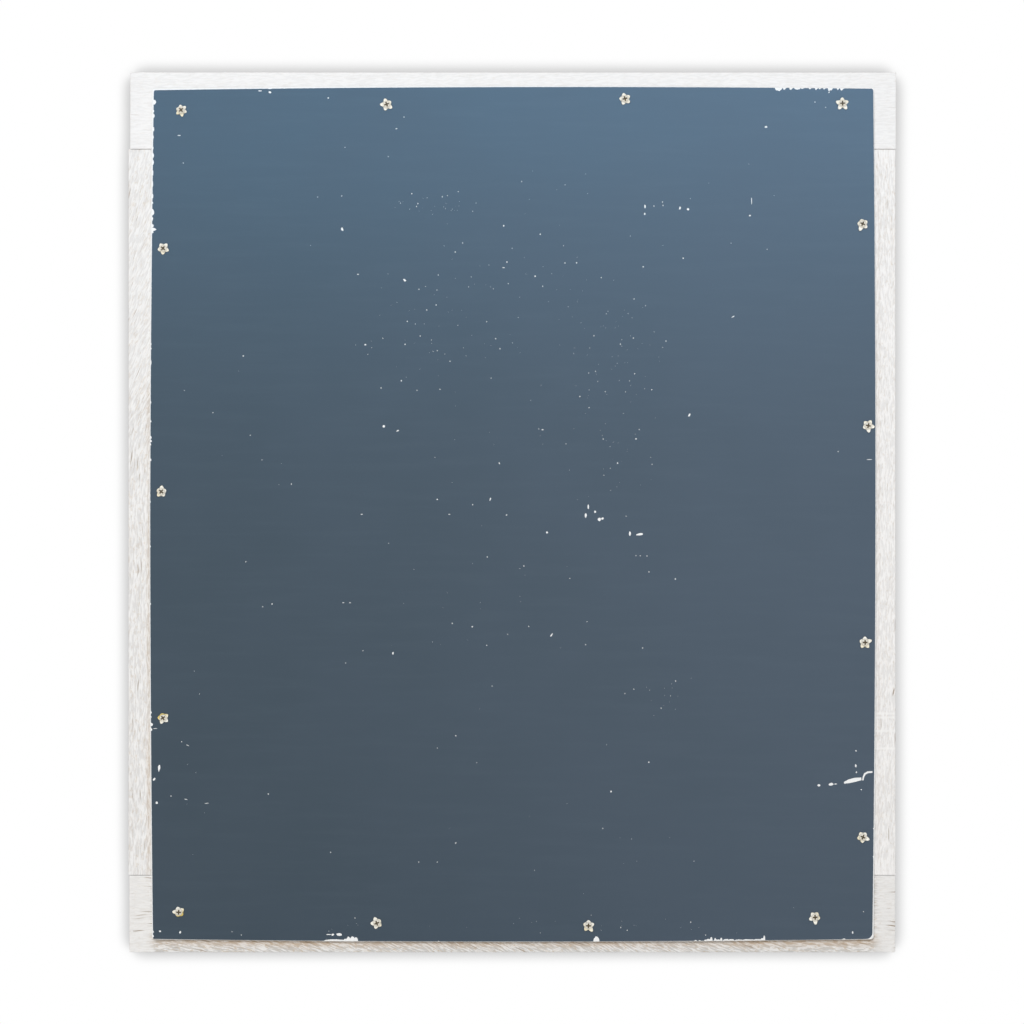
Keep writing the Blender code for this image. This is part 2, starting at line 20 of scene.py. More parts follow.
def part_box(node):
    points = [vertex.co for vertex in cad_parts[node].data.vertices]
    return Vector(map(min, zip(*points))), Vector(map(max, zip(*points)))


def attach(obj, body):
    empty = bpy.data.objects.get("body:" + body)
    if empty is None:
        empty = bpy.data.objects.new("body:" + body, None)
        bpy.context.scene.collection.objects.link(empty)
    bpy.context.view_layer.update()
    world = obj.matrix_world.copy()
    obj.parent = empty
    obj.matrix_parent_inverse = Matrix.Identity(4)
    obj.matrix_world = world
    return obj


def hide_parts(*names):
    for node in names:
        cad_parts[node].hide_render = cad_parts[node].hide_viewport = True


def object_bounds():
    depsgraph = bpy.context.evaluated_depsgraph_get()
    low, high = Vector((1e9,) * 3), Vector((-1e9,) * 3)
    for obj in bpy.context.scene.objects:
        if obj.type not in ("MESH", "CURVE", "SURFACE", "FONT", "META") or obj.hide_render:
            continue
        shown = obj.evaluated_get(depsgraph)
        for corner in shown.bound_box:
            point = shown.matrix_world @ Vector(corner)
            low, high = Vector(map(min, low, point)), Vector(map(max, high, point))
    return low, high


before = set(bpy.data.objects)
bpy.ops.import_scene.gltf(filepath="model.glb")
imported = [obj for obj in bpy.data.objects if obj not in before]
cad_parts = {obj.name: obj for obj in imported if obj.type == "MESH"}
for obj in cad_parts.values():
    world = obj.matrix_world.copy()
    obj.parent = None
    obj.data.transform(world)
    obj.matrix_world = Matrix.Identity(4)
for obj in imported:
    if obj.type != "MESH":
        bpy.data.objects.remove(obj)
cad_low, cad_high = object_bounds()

MM = 0.001
WHITE = (1, 1, 1)

# Points of a finished mesh that are closer than this are one point
LEAST_GAP = 0.001 * MM

# Camera, square on to the writing face. A place in the photo is in its pixels from its top
# left, as read off it. A pixel is PIXEL_MM wide on the frame's front and FACE_PIXEL_MM on the
# panel's face, which is nearer.
PIXEL_MM = 0.9126
FACE_PIXEL_MM = 0.911
PHOTO_WIDTH_PIXELS = 1024
PHOTO_MIDDLE = 512
LENS_MM = 135
SENSOR_MM = 36
VIEW_CENTRE_Z = -301.1 * MM
FRAME_FRONT_Y = -18 * MM

# Stage
WALL_CLEARANCE = 0.2 * MM
WALL_WIDTH = 6
FLOOR_DROP = 97 * MM
FLOOR_WIDTH = 8
FLOOR_GLOW = 0.22
SHADOW_REACH = 22 * MM
SHADOW_DEPTH = 0.6

# Lamps
AMBIENT = 0.44
KEY_PLACE = (-0.55, -6, 1.6)
KEY_SIZE = 1.95
KEY_POWER = 203
KEY_COLOUR = (1, 0.99, 0.985)
BACK_PLACE = (-0.9, 2.2, 1.2)
BACK_SIZE = 1.2
BACK_POWER = 34
SHEEN_PLACE = (0.05, -1.2, 0.3)
SHEEN_WIDTH = 2.2
SHEEN_HEIGHT = 0.3
SHEEN_POWER = 17
SHEEN_COLOUR = (0.27, 0.62, 1)

# Paint on the panel
PAINT_THICKNESS = 0.1 * MM
PAINT_WAVER_MM = 0.14
OUTLINE_STEP_MM = 1.5
PANEL_BELLY_MM = 2.3
PANEL_CORNER_MM = 3
SCREW_HOLE_MM = 1.9
OUTLINE_LEAST_MM = 0.12
CORNER_STEPS = 6
BLOB_STEPS = 9
SMALL_BLOB_STEPS = 6
SMALL_BLOB_MM = 1.5
DOT_SHARE = 0.8
CHIP_SHARES = (-1, -0.93, -0.7, -0.35, 0, 0.35, 0.7, 0.93, 1)
SPECK_COUNT = 320
SPECK_LEAST_MM = 0.34
SPECK_MORE_MM = 0.5
SPECK_TALLNESS = (0.7, 1, 1, 1.7)
SPECK_GAP_MM = 1.6
SPECK_CLEARANCE_MM = 3
STUD_CLEARANCE_MM = 7.8
SPECK_EDGE_MM = 8

# The paint's sides, clockwise: the way each faces, how far inside the panel's edge the paint
# stops at the side's start, middle and end, and the radius of the corner at its end
PAINT_SIDES = (
    ("top", (0, 1), (1.9, 1.35, 0.5), 2),
    ("right", (1, 0), (0.45, 0.7, 1.2), 5.6),
    ("bottom", (0, -1), (0.5, 0.45, 0.5), 0.9),
    ("left", (-1, 0), (0.95, 0.7, 1.7), 1.6),
)

# Chips out of the paint's edge: place along the side, length and depth in the photo's pixels
CHIPS = {
    "top": (
        (270, 4, 0.5), (778.5, 7.2, 3.3), (784.3, 2.8, 2.2), (790.6, 2.8, 2.2), (797.3, 6.6, 1.8),
        (802.3, 2.8, 1.1), (809.8, 2.6, 1.1), (816, 2.2, 2.2), (819.7, 2.2, 1.1), (824, 2.2, 1.2),
        (829, 2.4, 3.2), (831, 3, 2.4), (837.8, 2.2, 1.6), (841.5, 3.2, 2.2),
    ),
    "right": (
        (828.5, 1.6, 0.6), (856.6, 1.6, 0.6),
    ),
    "bottom": (
        (335, 22, 1.7), (345.5, 4, 2.6), (348.5, 4.4, 4.4), (352.5, 5, 5), (356, 4, 4.2),
        (438.7, 1.8, 0.6), (596.4, 6.2, 5.4), (695.7, 2.6, 0.9), (699.7, 2.2, 0.8),
        (706, 4, 1.4), (711.3, 2.6, 4), (709, 6, 1.9), (715.4, 2.4, 3), (718, 5, 1.5),
        (721.3, 2.4, 3.2), (726, 6, 1.8), (731.5, 6, 1.7), (739, 9, 1.1), (748, 14, 1.3),
        (758, 12, 1.4), (762.4, 3.4, 2.6), (764.2, 2.2, 5.2), (844, 3.4, 0.9),
    ),
    "left": (
        (102.2, 5, 2.6), (111, 2.2, 0.7), (116, 4.2, 1.4), (129.2, 4.6, 1.1), (137, 3, 0.6),
        (148, 3, 0.5), (155.5, 5, 1), (162.5, 5, 1.1), (173, 6, 0.6), (184, 6, 0.6),
        (196, 5, 1), (203, 2, 0.9), (212.2, 6.6, 2.1), (219, 4, 0.9), (225.8, 3, 1.8),
        (229.4, 3.4, 4.6), (232, 3, 1.6), (344, 2.4, 0.5), (348.5, 1.8, 0.5), (362.5, 5, 0.6),
        (402.5, 3, 0.6), (421.5, 1.8, 1), (437.5, 3.4, 1.1), (441, 2.6, 1.4), (444.5, 2, 0.9),
        (460, 2.2, 1.2), (502, 1.6, 0.6), (546.6, 1.6, 0.6), (604, 1.6, 0.7), (712.6, 2.2, 1),
        (717, 1.2, 1), (724.5, 3.4, 2.2), (729.6, 3, 1.4), (932, 1.6, 1.2), (936, 2.2, 1),
    ),
}

# Longer bare spots: place, width and height in the photo's pixels, and tilt in degrees where
# there is one
BARE_SPOTS = (
    (260, 90.9, 4, 1.1), (269.9, 92.2, 3, 2.2, -30), (829, 92.4, 1.8, 1, 40),
    (179, 135.4, 3.2, 0.9), (766, 127, 3, 2, -10), (342.3, 229.3, 2.2, 4, 10),
    (404.7, 280.3, 3.2, 2, -30), (358, 274.3, 2.2, 0.9), (396.3, 128.7, 2, 0.8),
    (645, 206.5, 1.6, 3.6), (644.7, 214, 1.5, 2.2), (679.9, 208, 1.9, 2.6, -10),
    (688, 209.3, 2.2, 2.4), (654, 206, 0.9, 1.5), (662.6, 202, 0.9, 1.4), (663, 205.5, 0.9, 1.4),
    (750, 215.6, 2, 1.6, 20), (751.6, 201, 0.8, 7), (503.7, 267.7, 2.6, 0.9),
    (733, 316.7, 3.4, 0.9, 30), (689.4, 415, 1.6, 3.8, -35), (365.3, 344.7, 2, 1.4, -20),
    (383.7, 426.3, 2.2, 2.6), (397.7, 430.7, 3, 1.4, 25), (499.3, 463.3, 1, 2.4, 20),
    (490.3, 499.3, 1.3, 3.4, -20), (361.7, 514.3, 2.4, 0.9), (449.3, 514.3, 2.4, 0.7),
    (506.7, 515, 1.9, 1.1), (542.6, 429.7, 2, 1), (588.3, 507, 1.6, 5, 4),
    (595, 511.8, 2, 2.6), (585.7, 515.3, 2, 4.4), (599.3, 519.6, 3, 4.2, 8),
    (602.4, 518.6, 2.8, 2, 25), (629.9, 533.6, 2.1, 4.8), (639.6, 534.4, 7, 2.4, 8),
    (546.9, 532.4, 2, 1.8), (551.5, 635, 1.2, 4, -30), (343.3, 602.7, 2, 0.8),
    (350, 602.7, 2, 0.8), (393, 653.3, 1.7, 2.8), (611, 791.5, 1.4, 2.2),
    (187.7, 745.3, 3, 0.6, -20), (186, 799.3, 3.6, 0.7, -10), (206.7, 803.3, 4.4, 0.6, 5),
    (159, 768.3, 2, 7.6, -4), (154.2, 779.2, 1.7, 3.6, -40), (156.8, 802.8, 2.4, 2.4),
    (155.2, 728.5, 4, 0.6), (455.7, 843, 2, 0.9, 30), (437.3, 862, 1.6, 0.9),
    (160, 931.3, 2.2, 1.8), (180.2, 932.2, 1.9, 2.8, -15), (329, 934.5, 5.4, 1),
    (332.9, 934.6, 2.8, 2.4, 20), (339.2, 934.4, 5.8, 2.6), (852.6, 932.5, 1.5, 3, 6),
    (819, 785.3, 3.2, 2.2), (831, 784.3, 5.2, 2.6, 4), (835.6, 784, 3, 1, 5),
    (855.8, 765.7, 1.8, 3), (856.4, 772.3, 1.2, 2), (856, 750.8, 1.9, 1.2, -20),
    (861.3, 789.7, 1.5, 1.2), (869, 459.5, 6, 0.6),
)

# Round bare spots: place and width in the photo's pixels
BARE_DOTS = (
    (328.3, 98, 1.9), (404, 117, 1.3), (345, 147.3, 1.1), (388.3, 156.7, 1.1), (183.3, 163, 1.3),
    (458.3, 191.7, 1.2), (411.7, 193.7, 1.5), (317.7, 197, 1.1), (341.7, 196, 1.1),
    (503.7, 225.7, 2), (540.3, 234.3, 1.6), (462.7, 243, 1.3), (455.3, 252, 1.6),
    (507, 262, 1.8), (565, 263, 1.6), (576.6, 262.8, 1.6), (643.2, 266.8, 1.6), (683.3, 258.3, 1.9),
    (535.2, 276.2, 1.9), (438.3, 275, 1.2), (508.3, 283.7, 1.3), (419, 289.3, 1.4),
    (437, 290, 1.3), (634, 299, 1.3), (426.7, 310, 1.4), (407.3, 321.3, 1.5), (415.3, 324, 1.1),
    (486.7, 321.7, 1.2), (420.3, 336, 1.4), (495.7, 338.7, 1.6), (633.4, 338, 1.5),
    (666, 341, 1.6), (405, 344.3, 1.6), (500, 348.7, 1.5), (437.3, 350.7, 1.2), (243.3, 356, 1.8),
    (450, 361.3, 1.3), (634.6, 373.8, 1.3), (588.6, 373, 1.2), (401.3, 380.7, 1.8),
    (381, 388, 1.6), (440, 389.3, 1.6), (417, 390.3, 1.2), (651.7, 389.7, 1.6), (605.2, 391.6, 1.3),
    (579.8, 396.6, 1.4), (589, 407.6, 1.3), (213, 412.7, 1.2), (250.3, 435.3, 1.2),
    (603.2, 439, 1.4), (636, 438.8, 1.9), (639.2, 429.6, 1.2), (617.6, 463, 1.8), (652, 464.4, 1.2),
    (437.3, 499.3, 1.9), (472.7, 504.7, 1.4), (636, 555.7, 1.1), (640.3, 555.8, 1.4),
    (647, 556, 1.4), (649, 572, 1.5), (675.4, 579, 1.8), (487.3, 557, 1.5), (569.8, 578.4, 1.2),
    (272, 604, 1.9), (262.7, 606.7, 1.2), (587, 621.6, 1.2), (472.3, 626.7, 1.7),
    (452.3, 623.3, 1.5), (528.7, 626.3, 1.4), (507.7, 634.3, 1.2), (585.6, 644.6, 1.4),
    (486.7, 645.3, 1.3), (363, 650.7, 1.2), (642.6, 648, 1.4), (345.7, 663, 1.2), (633.8, 689, 1.5),
    (492, 686, 1.2), (675.6, 681, 1.4), (455.7, 735.7, 1.6), (181.7, 741.7, 1.4),
    (437.3, 748, 1.2), (648.8, 762.2, 1.6), (476.7, 762.7, 1.2), (171, 796, 1.5),
    (268.3, 794, 1.6), (602.8, 828.4, 1.5), (330.7, 852.3, 1.3), (418.7, 862, 1.3),
    (355, 918, 1.3), (241.3, 935, 1.2), (232, 931.7, 1.2), (705.6, 935, 1.4), (863.4, 911.6, 1.2),
    (815, 102, 1.3), (825.6, 107.4, 1.2), (838.2, 451.6, 1.4),
)

# Scratches: a line of places in the photo's pixels, with widths
SCRATCHES = (
    ((844, 782.8, 1.8), (849, 781.2, 3.8), (855, 779.8, 4.2), (861.4, 778.8, 2.6)),
    (
        (862.8, 780.4, 1.3), (863.3, 777, 1.7), (864.8, 774, 1.9), (867.6, 772.3, 1.9),
        (872.4, 771.9, 1.8),
    ),
)

# Where fine specks gather: middle and spread in the photo's pixels, and share
SPECK_FIELDS = (
    (440, 205, 22, 6, 0.08), (450, 320, 50, 45, 0.22), (560, 300, 45, 60, 0.14),
    (625, 350, 25, 40, 0.16), (600, 450, 35, 30, 0.1), (480, 600, 45, 60, 0.08),
    (670, 690, 14, 12, 0.05), (640, 840, 60, 50, 0.05), (240, 440, 60, 60, 0.04),
    (180, 760, 22, 50, 0.03), (600, 926, 70, 7, 0.09), (350, 930, 14, 4, 0.02),
    (680, 240, 80, 40, 0.02),
)

# Rosettes: petals as in the model, as the first petal's direction and the lengths beyond the
# valleys in millimetres, with the side that is stained in degrees and how strongly
PETALS = {
    "top_1": (40, (1.6, 1.1, 0.7, 1.7, 2.2, 1.4), 240, 0.35),
    "top_2": (109, (1.8, 2.2, 1.8, 2.1, 0.9), 30, 0.1),
    "top_3": (105, (1.5, 1.1, 1.7, 1.7, 1.4), 0, 0.1),
    "top_4": (92, (1.6, 2.3, 2.5, 2.7, 1.9), 60, 0.1),
    "right_1": (247, (3, 1.6, 1.1, 0.5, 0.6), 120, 0.15),
    "right_2": (-12, (2.2, 1.7, 1.3, 1.1, 2.5), 90, 0.15),
    "right_3": (90, (1.5, 1.1, 2, 2.1, 2.6), 270, 0.3),
    "right_4": (-22, (2.7, 1, 1, 1.2, 1.4), 200, 0.3),
    "bottom_1": (177, (2, 0.3, 0.8, 1.4, 1), 300, 1.4),
    "bottom_2": (112, (1.9, 1.8, 1.4, 0.9, 0.5), 0, 0.2),
    "bottom_3": (88, (1.1, 0.8, 1.7, 2.6, 1.5), 240, 0.4),
    "bottom_4": (275, (2.9, 0.8, 1, 1.2, 1.9), 20, 0.35),
    "left_1": (50, (1.7, 1.2, 1.1, 1.7, 1.6), 270, 0.2),
    "left_2": (230, (1.6, 1.1, 0.6, 1.6, 0.4), 200, 0.35),
    "left_3": (34, (1.5, 0.3, 1, 1.7, 1.6), 125, 1.6),
}
BORE_MM = 1.75
SEAT_RIM_MM = 3.3
VALLEY_MM = 4
SEAT_FLOOR_MM = 0.7
CREST_MM = 2.25
PLATE_MM = 0.95
PETAL_CURL = 0.25
PETAL_POINT = 1.2
PETAL_HOLLOW_MM = 0.3
PETAL_BEAD_MM = 0.16
PETAL_BEAD_SHARE = 0.16
PETAL_CREASE_MM = 0.42
PETAL_CREASE_START_MM = 0.8
PETAL_STEPS = 9
TOP_ROWS = 12
FIRST_ROW = 0.35
FOOT_INSET_MM = 0.5
TIP_INSET_MM = 0.1
COLLAR_FLARE_MM = 0.55
COLLAR_EDGE_MM = (0.12, 0.06)
HAMMERED_MM = 0.05
HAMMER_MARKS_PER_MM = 0.8

# A petal's rim from below: how far in from the tip and how far up, in millimetres, and how dark it
# is there, part soiling and part painted shade under the rim
PETAL_RIM = ((0.3, 0, 0.8), (0.05, 0.15, 0.6), (0, 0.42, 0.3))

# Rosette screws
HEAD_MM = 3
DOME_MM = 0.8
SHANK_MM = 1.45
CONE_MM = 1.55
SCREW_LENGTH_MM = 16.05
SCREW_POINT_MM = 3
RECESS_ARM_MM = 2
RECESS_HALF_MM = 0.5
RECESS_DEPTH_MM = 1.3
RECESS_TAPER = 0.55
RECESS_FLARE = 1.25
RECESS_CLEAR_MM = 0.4
HEAD_EDGE_MM = (0.06, 0.08)
TURNED_STEPS = 40

# Hanger screws
PAN_HEIGHT_MM = 1.8
PAN_SHANK_MM = 1.5
PAN_LENGTH_MM = 12.35
PAN_POINT_MM = 2.5

# Darkening on the rosettes and screws, part soiling and part painted shade: where its line lies in
# the hollow beyond a rosette's collar and how wide it is, how wide it is along a screw's recess,
# and how far below its top and its rim a screw is all dark
COLLAR_GRIME_AND_SHADE_MM = (0.7, 0.4)
RECESS_GRIME_AND_SHADE_MM = 0.35
TOP_GRIME_AND_SHADE_MM = 0.45
RIM_GRIME_AND_SHADE_MM = 0.2

# Hangers
RING_WIRE_MM = 1.2
RING_HALF_MM = 11.5
RING_DROP_MM = 21.5
RING_CORNER_MM = 2.4
RING_BAR_MM = (-6, -3, 0, 3, 6)
RING_SIDES = 16
STRAP_WIDTH_MM = 10
STRAP_THICK_MM = 0.8
STRAP_LEAF_MM = 0.7
STRAP_LOOP_MM = 1.8
STRAP_TOP_LEAF_MM = 1.65
STRAP_HOLE_MM = 7.2
STRAP_HOLE_RADIUS_MM = 1.8
STRAP_WRAP_DEGREES = 150
STRAP_EDGE_MM = 0.12
DRILL_REACH_MM = 5
DRILL_STEPS = 32

# Wall pads, and the dish in their face as shares of the radius and depths
PAD_DISH = ((0, 0.5), (0.3, 0.46), (0.5, 0.2), (0.6, 0.02), (0.72, 0))
PAD_EDGE_MM = 1
PAD_EDGE_DEGREES = (25, 50, 75, 90)
PAD_FOOT_MM = 0.25
PAD_STEPS = 48

# Oak: colours, the half width of a light band, how far the grain wanders, and over how far
# along a board its stretch of stain and painted shadow fades out
OAK_BROWN = (0.5, 0.4, 0.3)
OAK_PALE = (0.7, 0.62, 0.51)
OAK_DARK = (0.3, 0.22, 0.15)
STAIN_AND_SHADOW_BROWN = (0.5, 0.37, 0.25)
WASH_THICK = (0.93, 0.925, 0.91)
BAND_HALF_MM = 1.6
WANDER_MM = 12
STRETCH_FADE_MM = 8

# Looks of each board. lean: from where to where along it the grain runs across it, and how
# far. wash and grey: the thick and the thin wash. bare: how much wood shows in the grain.
# stain: a brown band along the panel's edge, part real stain and part painted shadow of the
# panel: where across the board it lies, how far to each side, how strongly, from where to
# where along it, in millimetres, and how open the grain is beyond that stretch. bands: heights
# of light bands in the photo. nick: a dark nick's place and size in the photo.
BOARDS = {
    "top_rail": {
        "lean": (-0.33, 0.33, -0.03), "bare": 0.05, "seed": 0,
        "wash": (0.89, 0.885, 0.88), "grey": (0.825, 0.82, 0.815),
        "stain": (89, 4, 0.03, -340, 340, 1),
    },
    # Under the panel this rail is darkened by its grey thin wash, open grain and brown band, partly
    # the wood's own look and partly painted shadow of the panel.
    "bottom_rail": {
        "lean": (-0.34, 0.34, 0.22), "bare": 0.5, "seed": 1.3,
        "wash": (0.85, 0.84, 0.825), "grey": (0.53, 0.52, 0.5),
        "stain": (-692.5, 9, 0.9, -332, 328, 0.2),
    },
    # The left stile's washes are darker and the right stile's paler: painted shade and light that
    # stand in for light falling stronger on the right.
    "left_stile": {
        "lean": (-0.3, 0.06, 0.1), "bare": 0.24, "seed": 2.1,
        "wash": (0.885, 0.88, 0.87), "grey": (0.7, 0.69, 0.68),
        "stain": (-331.5, 3.5, 0.45, -640, -190, 0.8),
    },
    "right_stile": {
        "lean": (-0.9, 0.2, 0.02), "bare": 0.18, "seed": 3.4,
        "wash": (0.925, 0.915, 0.905), "grey": (0.775, 0.765, 0.755),
        "stain": (334.5, 3, 0.15, -620, 20, 0.6),
        "bands": (713.5, 717.5, 731, 748.5), "nick": (893.5, 692, 2.4, 5.5),
    },
}

TO_FRONT = Matrix.Rotation(radians(90), 4, "X")
TO_BACK = Matrix.Rotation(radians(180), 4, "Z") @ TO_FRONT


def add_piece(name, mesh, place=(0, 0, 0), turn=Matrix.Identity(4)):
    piece = bpy.data.objects.new(name, mesh)
    bpy.context.scene.collection.objects.link(piece)
    piece.matrix_world = Matrix.Translation(Vector(place)) @ turn
    return piece


def mesh_of(name, work):
    mesh = bpy.data.meshes.new(name)
    bmesh.ops.recalc_face_normals(work, faces=work.faces)
    work.to_mesh(mesh)
    work.free()
    return mesh


def applied(piece):
    """The piece's mesh with its modifiers applied, cleaned up; the piece itself is removed."""
    bpy.context.view_layer.update()
    graph = bpy.context.evaluated_depsgraph_get()
    work = bmesh.new()
    raw = bpy.data.meshes.new_from_object(piece.evaluated_get(graph))
    work.from_mesh(raw)
    bmesh.ops.remove_doubles(work, verts=work.verts, dist=LEAST_GAP)
    bmesh.ops.dissolve_degenerate(work, dist=LEAST_GAP, edges=work.edges)
    mesh = mesh_of(piece.name, work)
    bpy.data.meshes.remove(raw)
    bpy.data.objects.remove(piece, do_unlink=True)
    return mesh


def cut(piece, tool):
    hole = piece.modifiers.new("hole", "BOOLEAN")
    hole.operation = "DIFFERENCE"
    hole.object = tool


def hump(away, width):
    """1 at zero, falling off smoothly over this width."""
    return exp(-((away / width) ** 2))


def smooth(mesh, angle):
    mesh.shade_smooth()
    mesh.set_sharp_from_angle(angle=radians(angle))


def arc(centre, radius, start, end, steps):
    angles = [radians(start + (end - start) * i / steps) for i in range(steps + 1)]
    return [(centre[0] + radius * cos(a), centre[1] + radius * sin(a)) for a in angles]


def filled_outline(name, loops, depth):
    """Closed loops filled as one flat sheet with holes, and given a thickness along +Z."""
    curve = bpy.data.curves.new(name, "CURVE")
    curve.dimensions = "2D"
    curve.fill_mode = "BOTH"
    curve.extrude = depth / 2
    for loop in loops:
        spline = curve.splines.new("POLY")
        spline.points.add(len(loop) - 1)
        for point, (x, y) in zip(spline.points, loop):
            point.co = (x, y, 0, 1)
        spline.use_cyclic_u = True
    return applied(add_piece(name, curve))


def loft(work, rings):
    """Faces between each ring of points and the next."""
    for ring, following in zip(rings, rings[1:]):
        for i in range(len(ring)):
            work.faces.new((ring[i - 1], ring[i], following[i], following[i - 1]))


def turned(name, profile_mm, steps):
    """A profile of (radius, level) in millimetres turned about Z, closed at both ends."""
    work = bmesh.new()
    rings = []
    for radius, level in profile_mm:
        ring = []
        for i in range(steps if radius else 1):
            angle = tau * i / steps
            place = (radius * MM * cos(angle), radius * MM * sin(angle), level * MM)
            ring.append(work.verts.new(place))
        rings.append(ring)
    for upper, lower in zip(rings, rings[1:]):
        for i in range(steps):
            corners = [upper[i % len(upper)], upper[(i + 1) % len(upper)]]
            corners += [lower[(i + 1) % len(lower)], lower[i % len(lower)]]
            work.faces.new(list(dict.fromkeys(corners)))
    return mesh_of(name, work)


def set_point_values(mesh, **values):
    for name, numbers in values.items():
        mesh.attributes.new(name, "FLOAT", "POINT").data.foreach_set("value", numbers)


def node(tree, kind, settings=None, **inputs):
    made = tree.nodes.new("ShaderNode" + kind)
    for name, value in (settings or {}).items():
        setattr(made, name, value)
    feed(made, **inputs)
    return made


def feed(made, **inputs):
    """Gives a node its inputs, as values or other nodes' sockets; a name has _ for a space."""
    for name, value in inputs.items():
        plug(made.inputs[name.replace("_", " ")], value)


def plug(socket, value):
    if isinstance(value, bpy.types.NodeSocket):
        socket.id_data.links.new(value, socket)
    else:
        socket.default_value = value


def new_material(name):
    material = bpy.data.materials.new(name)
    material.use_nodes = True
    return material, material.node_tree


def mix(share, first, second):
    """Two colours mixed; each is a socket or three numbers."""
    made = node(share.id_data, "Mix", {"data_type": "RGBA"})
    plug(made.inputs[0], share)
    for socket, colour in ((made.inputs[6], first), (made.inputs[7], second)):
        plug(socket, colour if isinstance(colour, bpy.types.NodeSocket) else (*colour, 1))
    return made.outputs[2]


def calculate(operation, first, second=0, clamp=False):
    made = node(first.id_data, "Math", {"operation": operation, "use_clamp": clamp})
    plug(made.inputs[0], first)
    plug(made.inputs[1], second)
    return made.outputs[0]


def times(first, second):
    return calculate("MULTIPLY", first, second)


def plus(first, second, clamp=False):
    return calculate("ADD", first, second, clamp)


def minus(first, second):
    return calculate("SUBTRACT", first, second)


def away_from(value, middle):
    return calculate("ABSOLUTE", minus(value, middle))


def spread(value, low, high, to_low=0, to_high=1):
    """The value from low to high mapped smoothly on a new range."""
    settings = {"interpolation_type": "SMOOTHSTEP"}
    ends = {"From_Min": low, "From_Max": high, "To_Min": to_low, "To_Max": to_high}
    return node(value.id_data, "MapRange", settings, Value=value, **ends).outputs[0]


def place_on(vector, scale=(1, 1, 1), turn=(0, 0, 0), shift=(0, 0, 0)):
    turned_by = [radians(a) for a in turn]
    settings = {"Scale": scale, "Rotation": turned_by, "Location": shift}
    return node(vector.id_data, "Mapping", Vector=vector, **settings).outputs[0]


def cloud(vector, scale, detail, roughness, stretch=None, distortion=0):
    """Cloudy noise from 0 to 1, finer along an axis where stretch is larger."""
    if stretch:
        vector = place_on(vector, scale=stretch)
    grain = {"Scale": scale, "Detail": detail, "Roughness": roughness, "Distortion": distortion}
    return node(vector.id_data, "TexNoise", Vector=vector, **grain).outputs[0]


def object_place(tree):
    return node(tree, "TexCoord").outputs["Object"]


def facing(tree, axis):
    """How far the surface faces along an axis of the object, from -1 to 1."""
    normal = node(tree, "TexCoord").outputs["Normal"]
    return node(tree, "SeparateXYZ", Vector=normal).outputs[axis]


def surface(material, colour, roughness, height, height_mm, strength, **more):
    """Gives a material its colour, its roughness and a bump this high, and returns it."""
    tree = material.node_tree
    bump = node(tree, "Bump", Height=height, Distance=height_mm * MM, Strength=strength)
    more["Normal"] = bump.outputs[0]
    feed(tree.nodes["Principled BSDF"], Base_Color=colour, Roughness=roughness, **more)
    return material


def strokes(across, along, share):
    """Short thin strokes along the grain, uneven in size: 1 on a stroke and 0 beside it."""
    tree = across.id_data
    flat = node(tree, "CombineXYZ", X=across, Y=times(along, 0.07)).outputs[0]
    cells = node(tree, "TexVoronoi", {"voronoi_dimensions": "2D"}, Vector=flat, Scale=290)
    luck = node(tree, "SeparateXYZ", Vector=cells.outputs["Color"]).outputs
    chosen = calculate("LESS_THAN", luck["X"], share)
    depth = times(chosen, spread(luck["Z"], 0, 1, 0.3, 1))
    width = spread(luck["Y"], 0, 1, 0.5, 1.6)
    away = calculate("DIVIDE", cells.outputs["Distance"], width)
    return times(spread(away, 0.03, 0.12, 1, 0), depth)


def wood_marks(ways, colour, bands, nick):
    """Bands of thicker wash across a board, and a dark nick in its face; its back has neither."""
    tree = colour.id_data
    front = spread(facing(tree, "Y"), 0, 0.5, 1, 0)
    for height in bands:
        level = (PHOTO_MIDDLE - height) * PIXEL_MM * MM + VIEW_CENTRE_Z
        off = away_from(ways["Z"], level)
        share = spread(off, 0.3 * MM, BAND_HALF_MM * MM, 0.65, 0)
        colour = mix(times(share, front), colour, WASH_THICK)
    if nick:
        x, y, width, height = (value * PIXEL_MM * MM for value in nick)
        middle = PHOTO_MIDDLE * PIXEL_MM * MM
        right = times(minus(ways["X"], x - middle), 2 / width)
        up = times(minus(ways["Z"], middle - y + VIEW_CENTRE_Z), 2 / height)
        off = node(tree, "CombineXYZ", X=right, Y=minus(up, right)).outputs[0]
        off = node(tree, "VectorMath", {"operation": "LENGTH"}, Vector=off).outputs["Value"]
        share = times(spread(off, 0.4, 1.3, 0.8, 0), front)
        colour = mix(share, colour, OAK_DARK)
    return colour


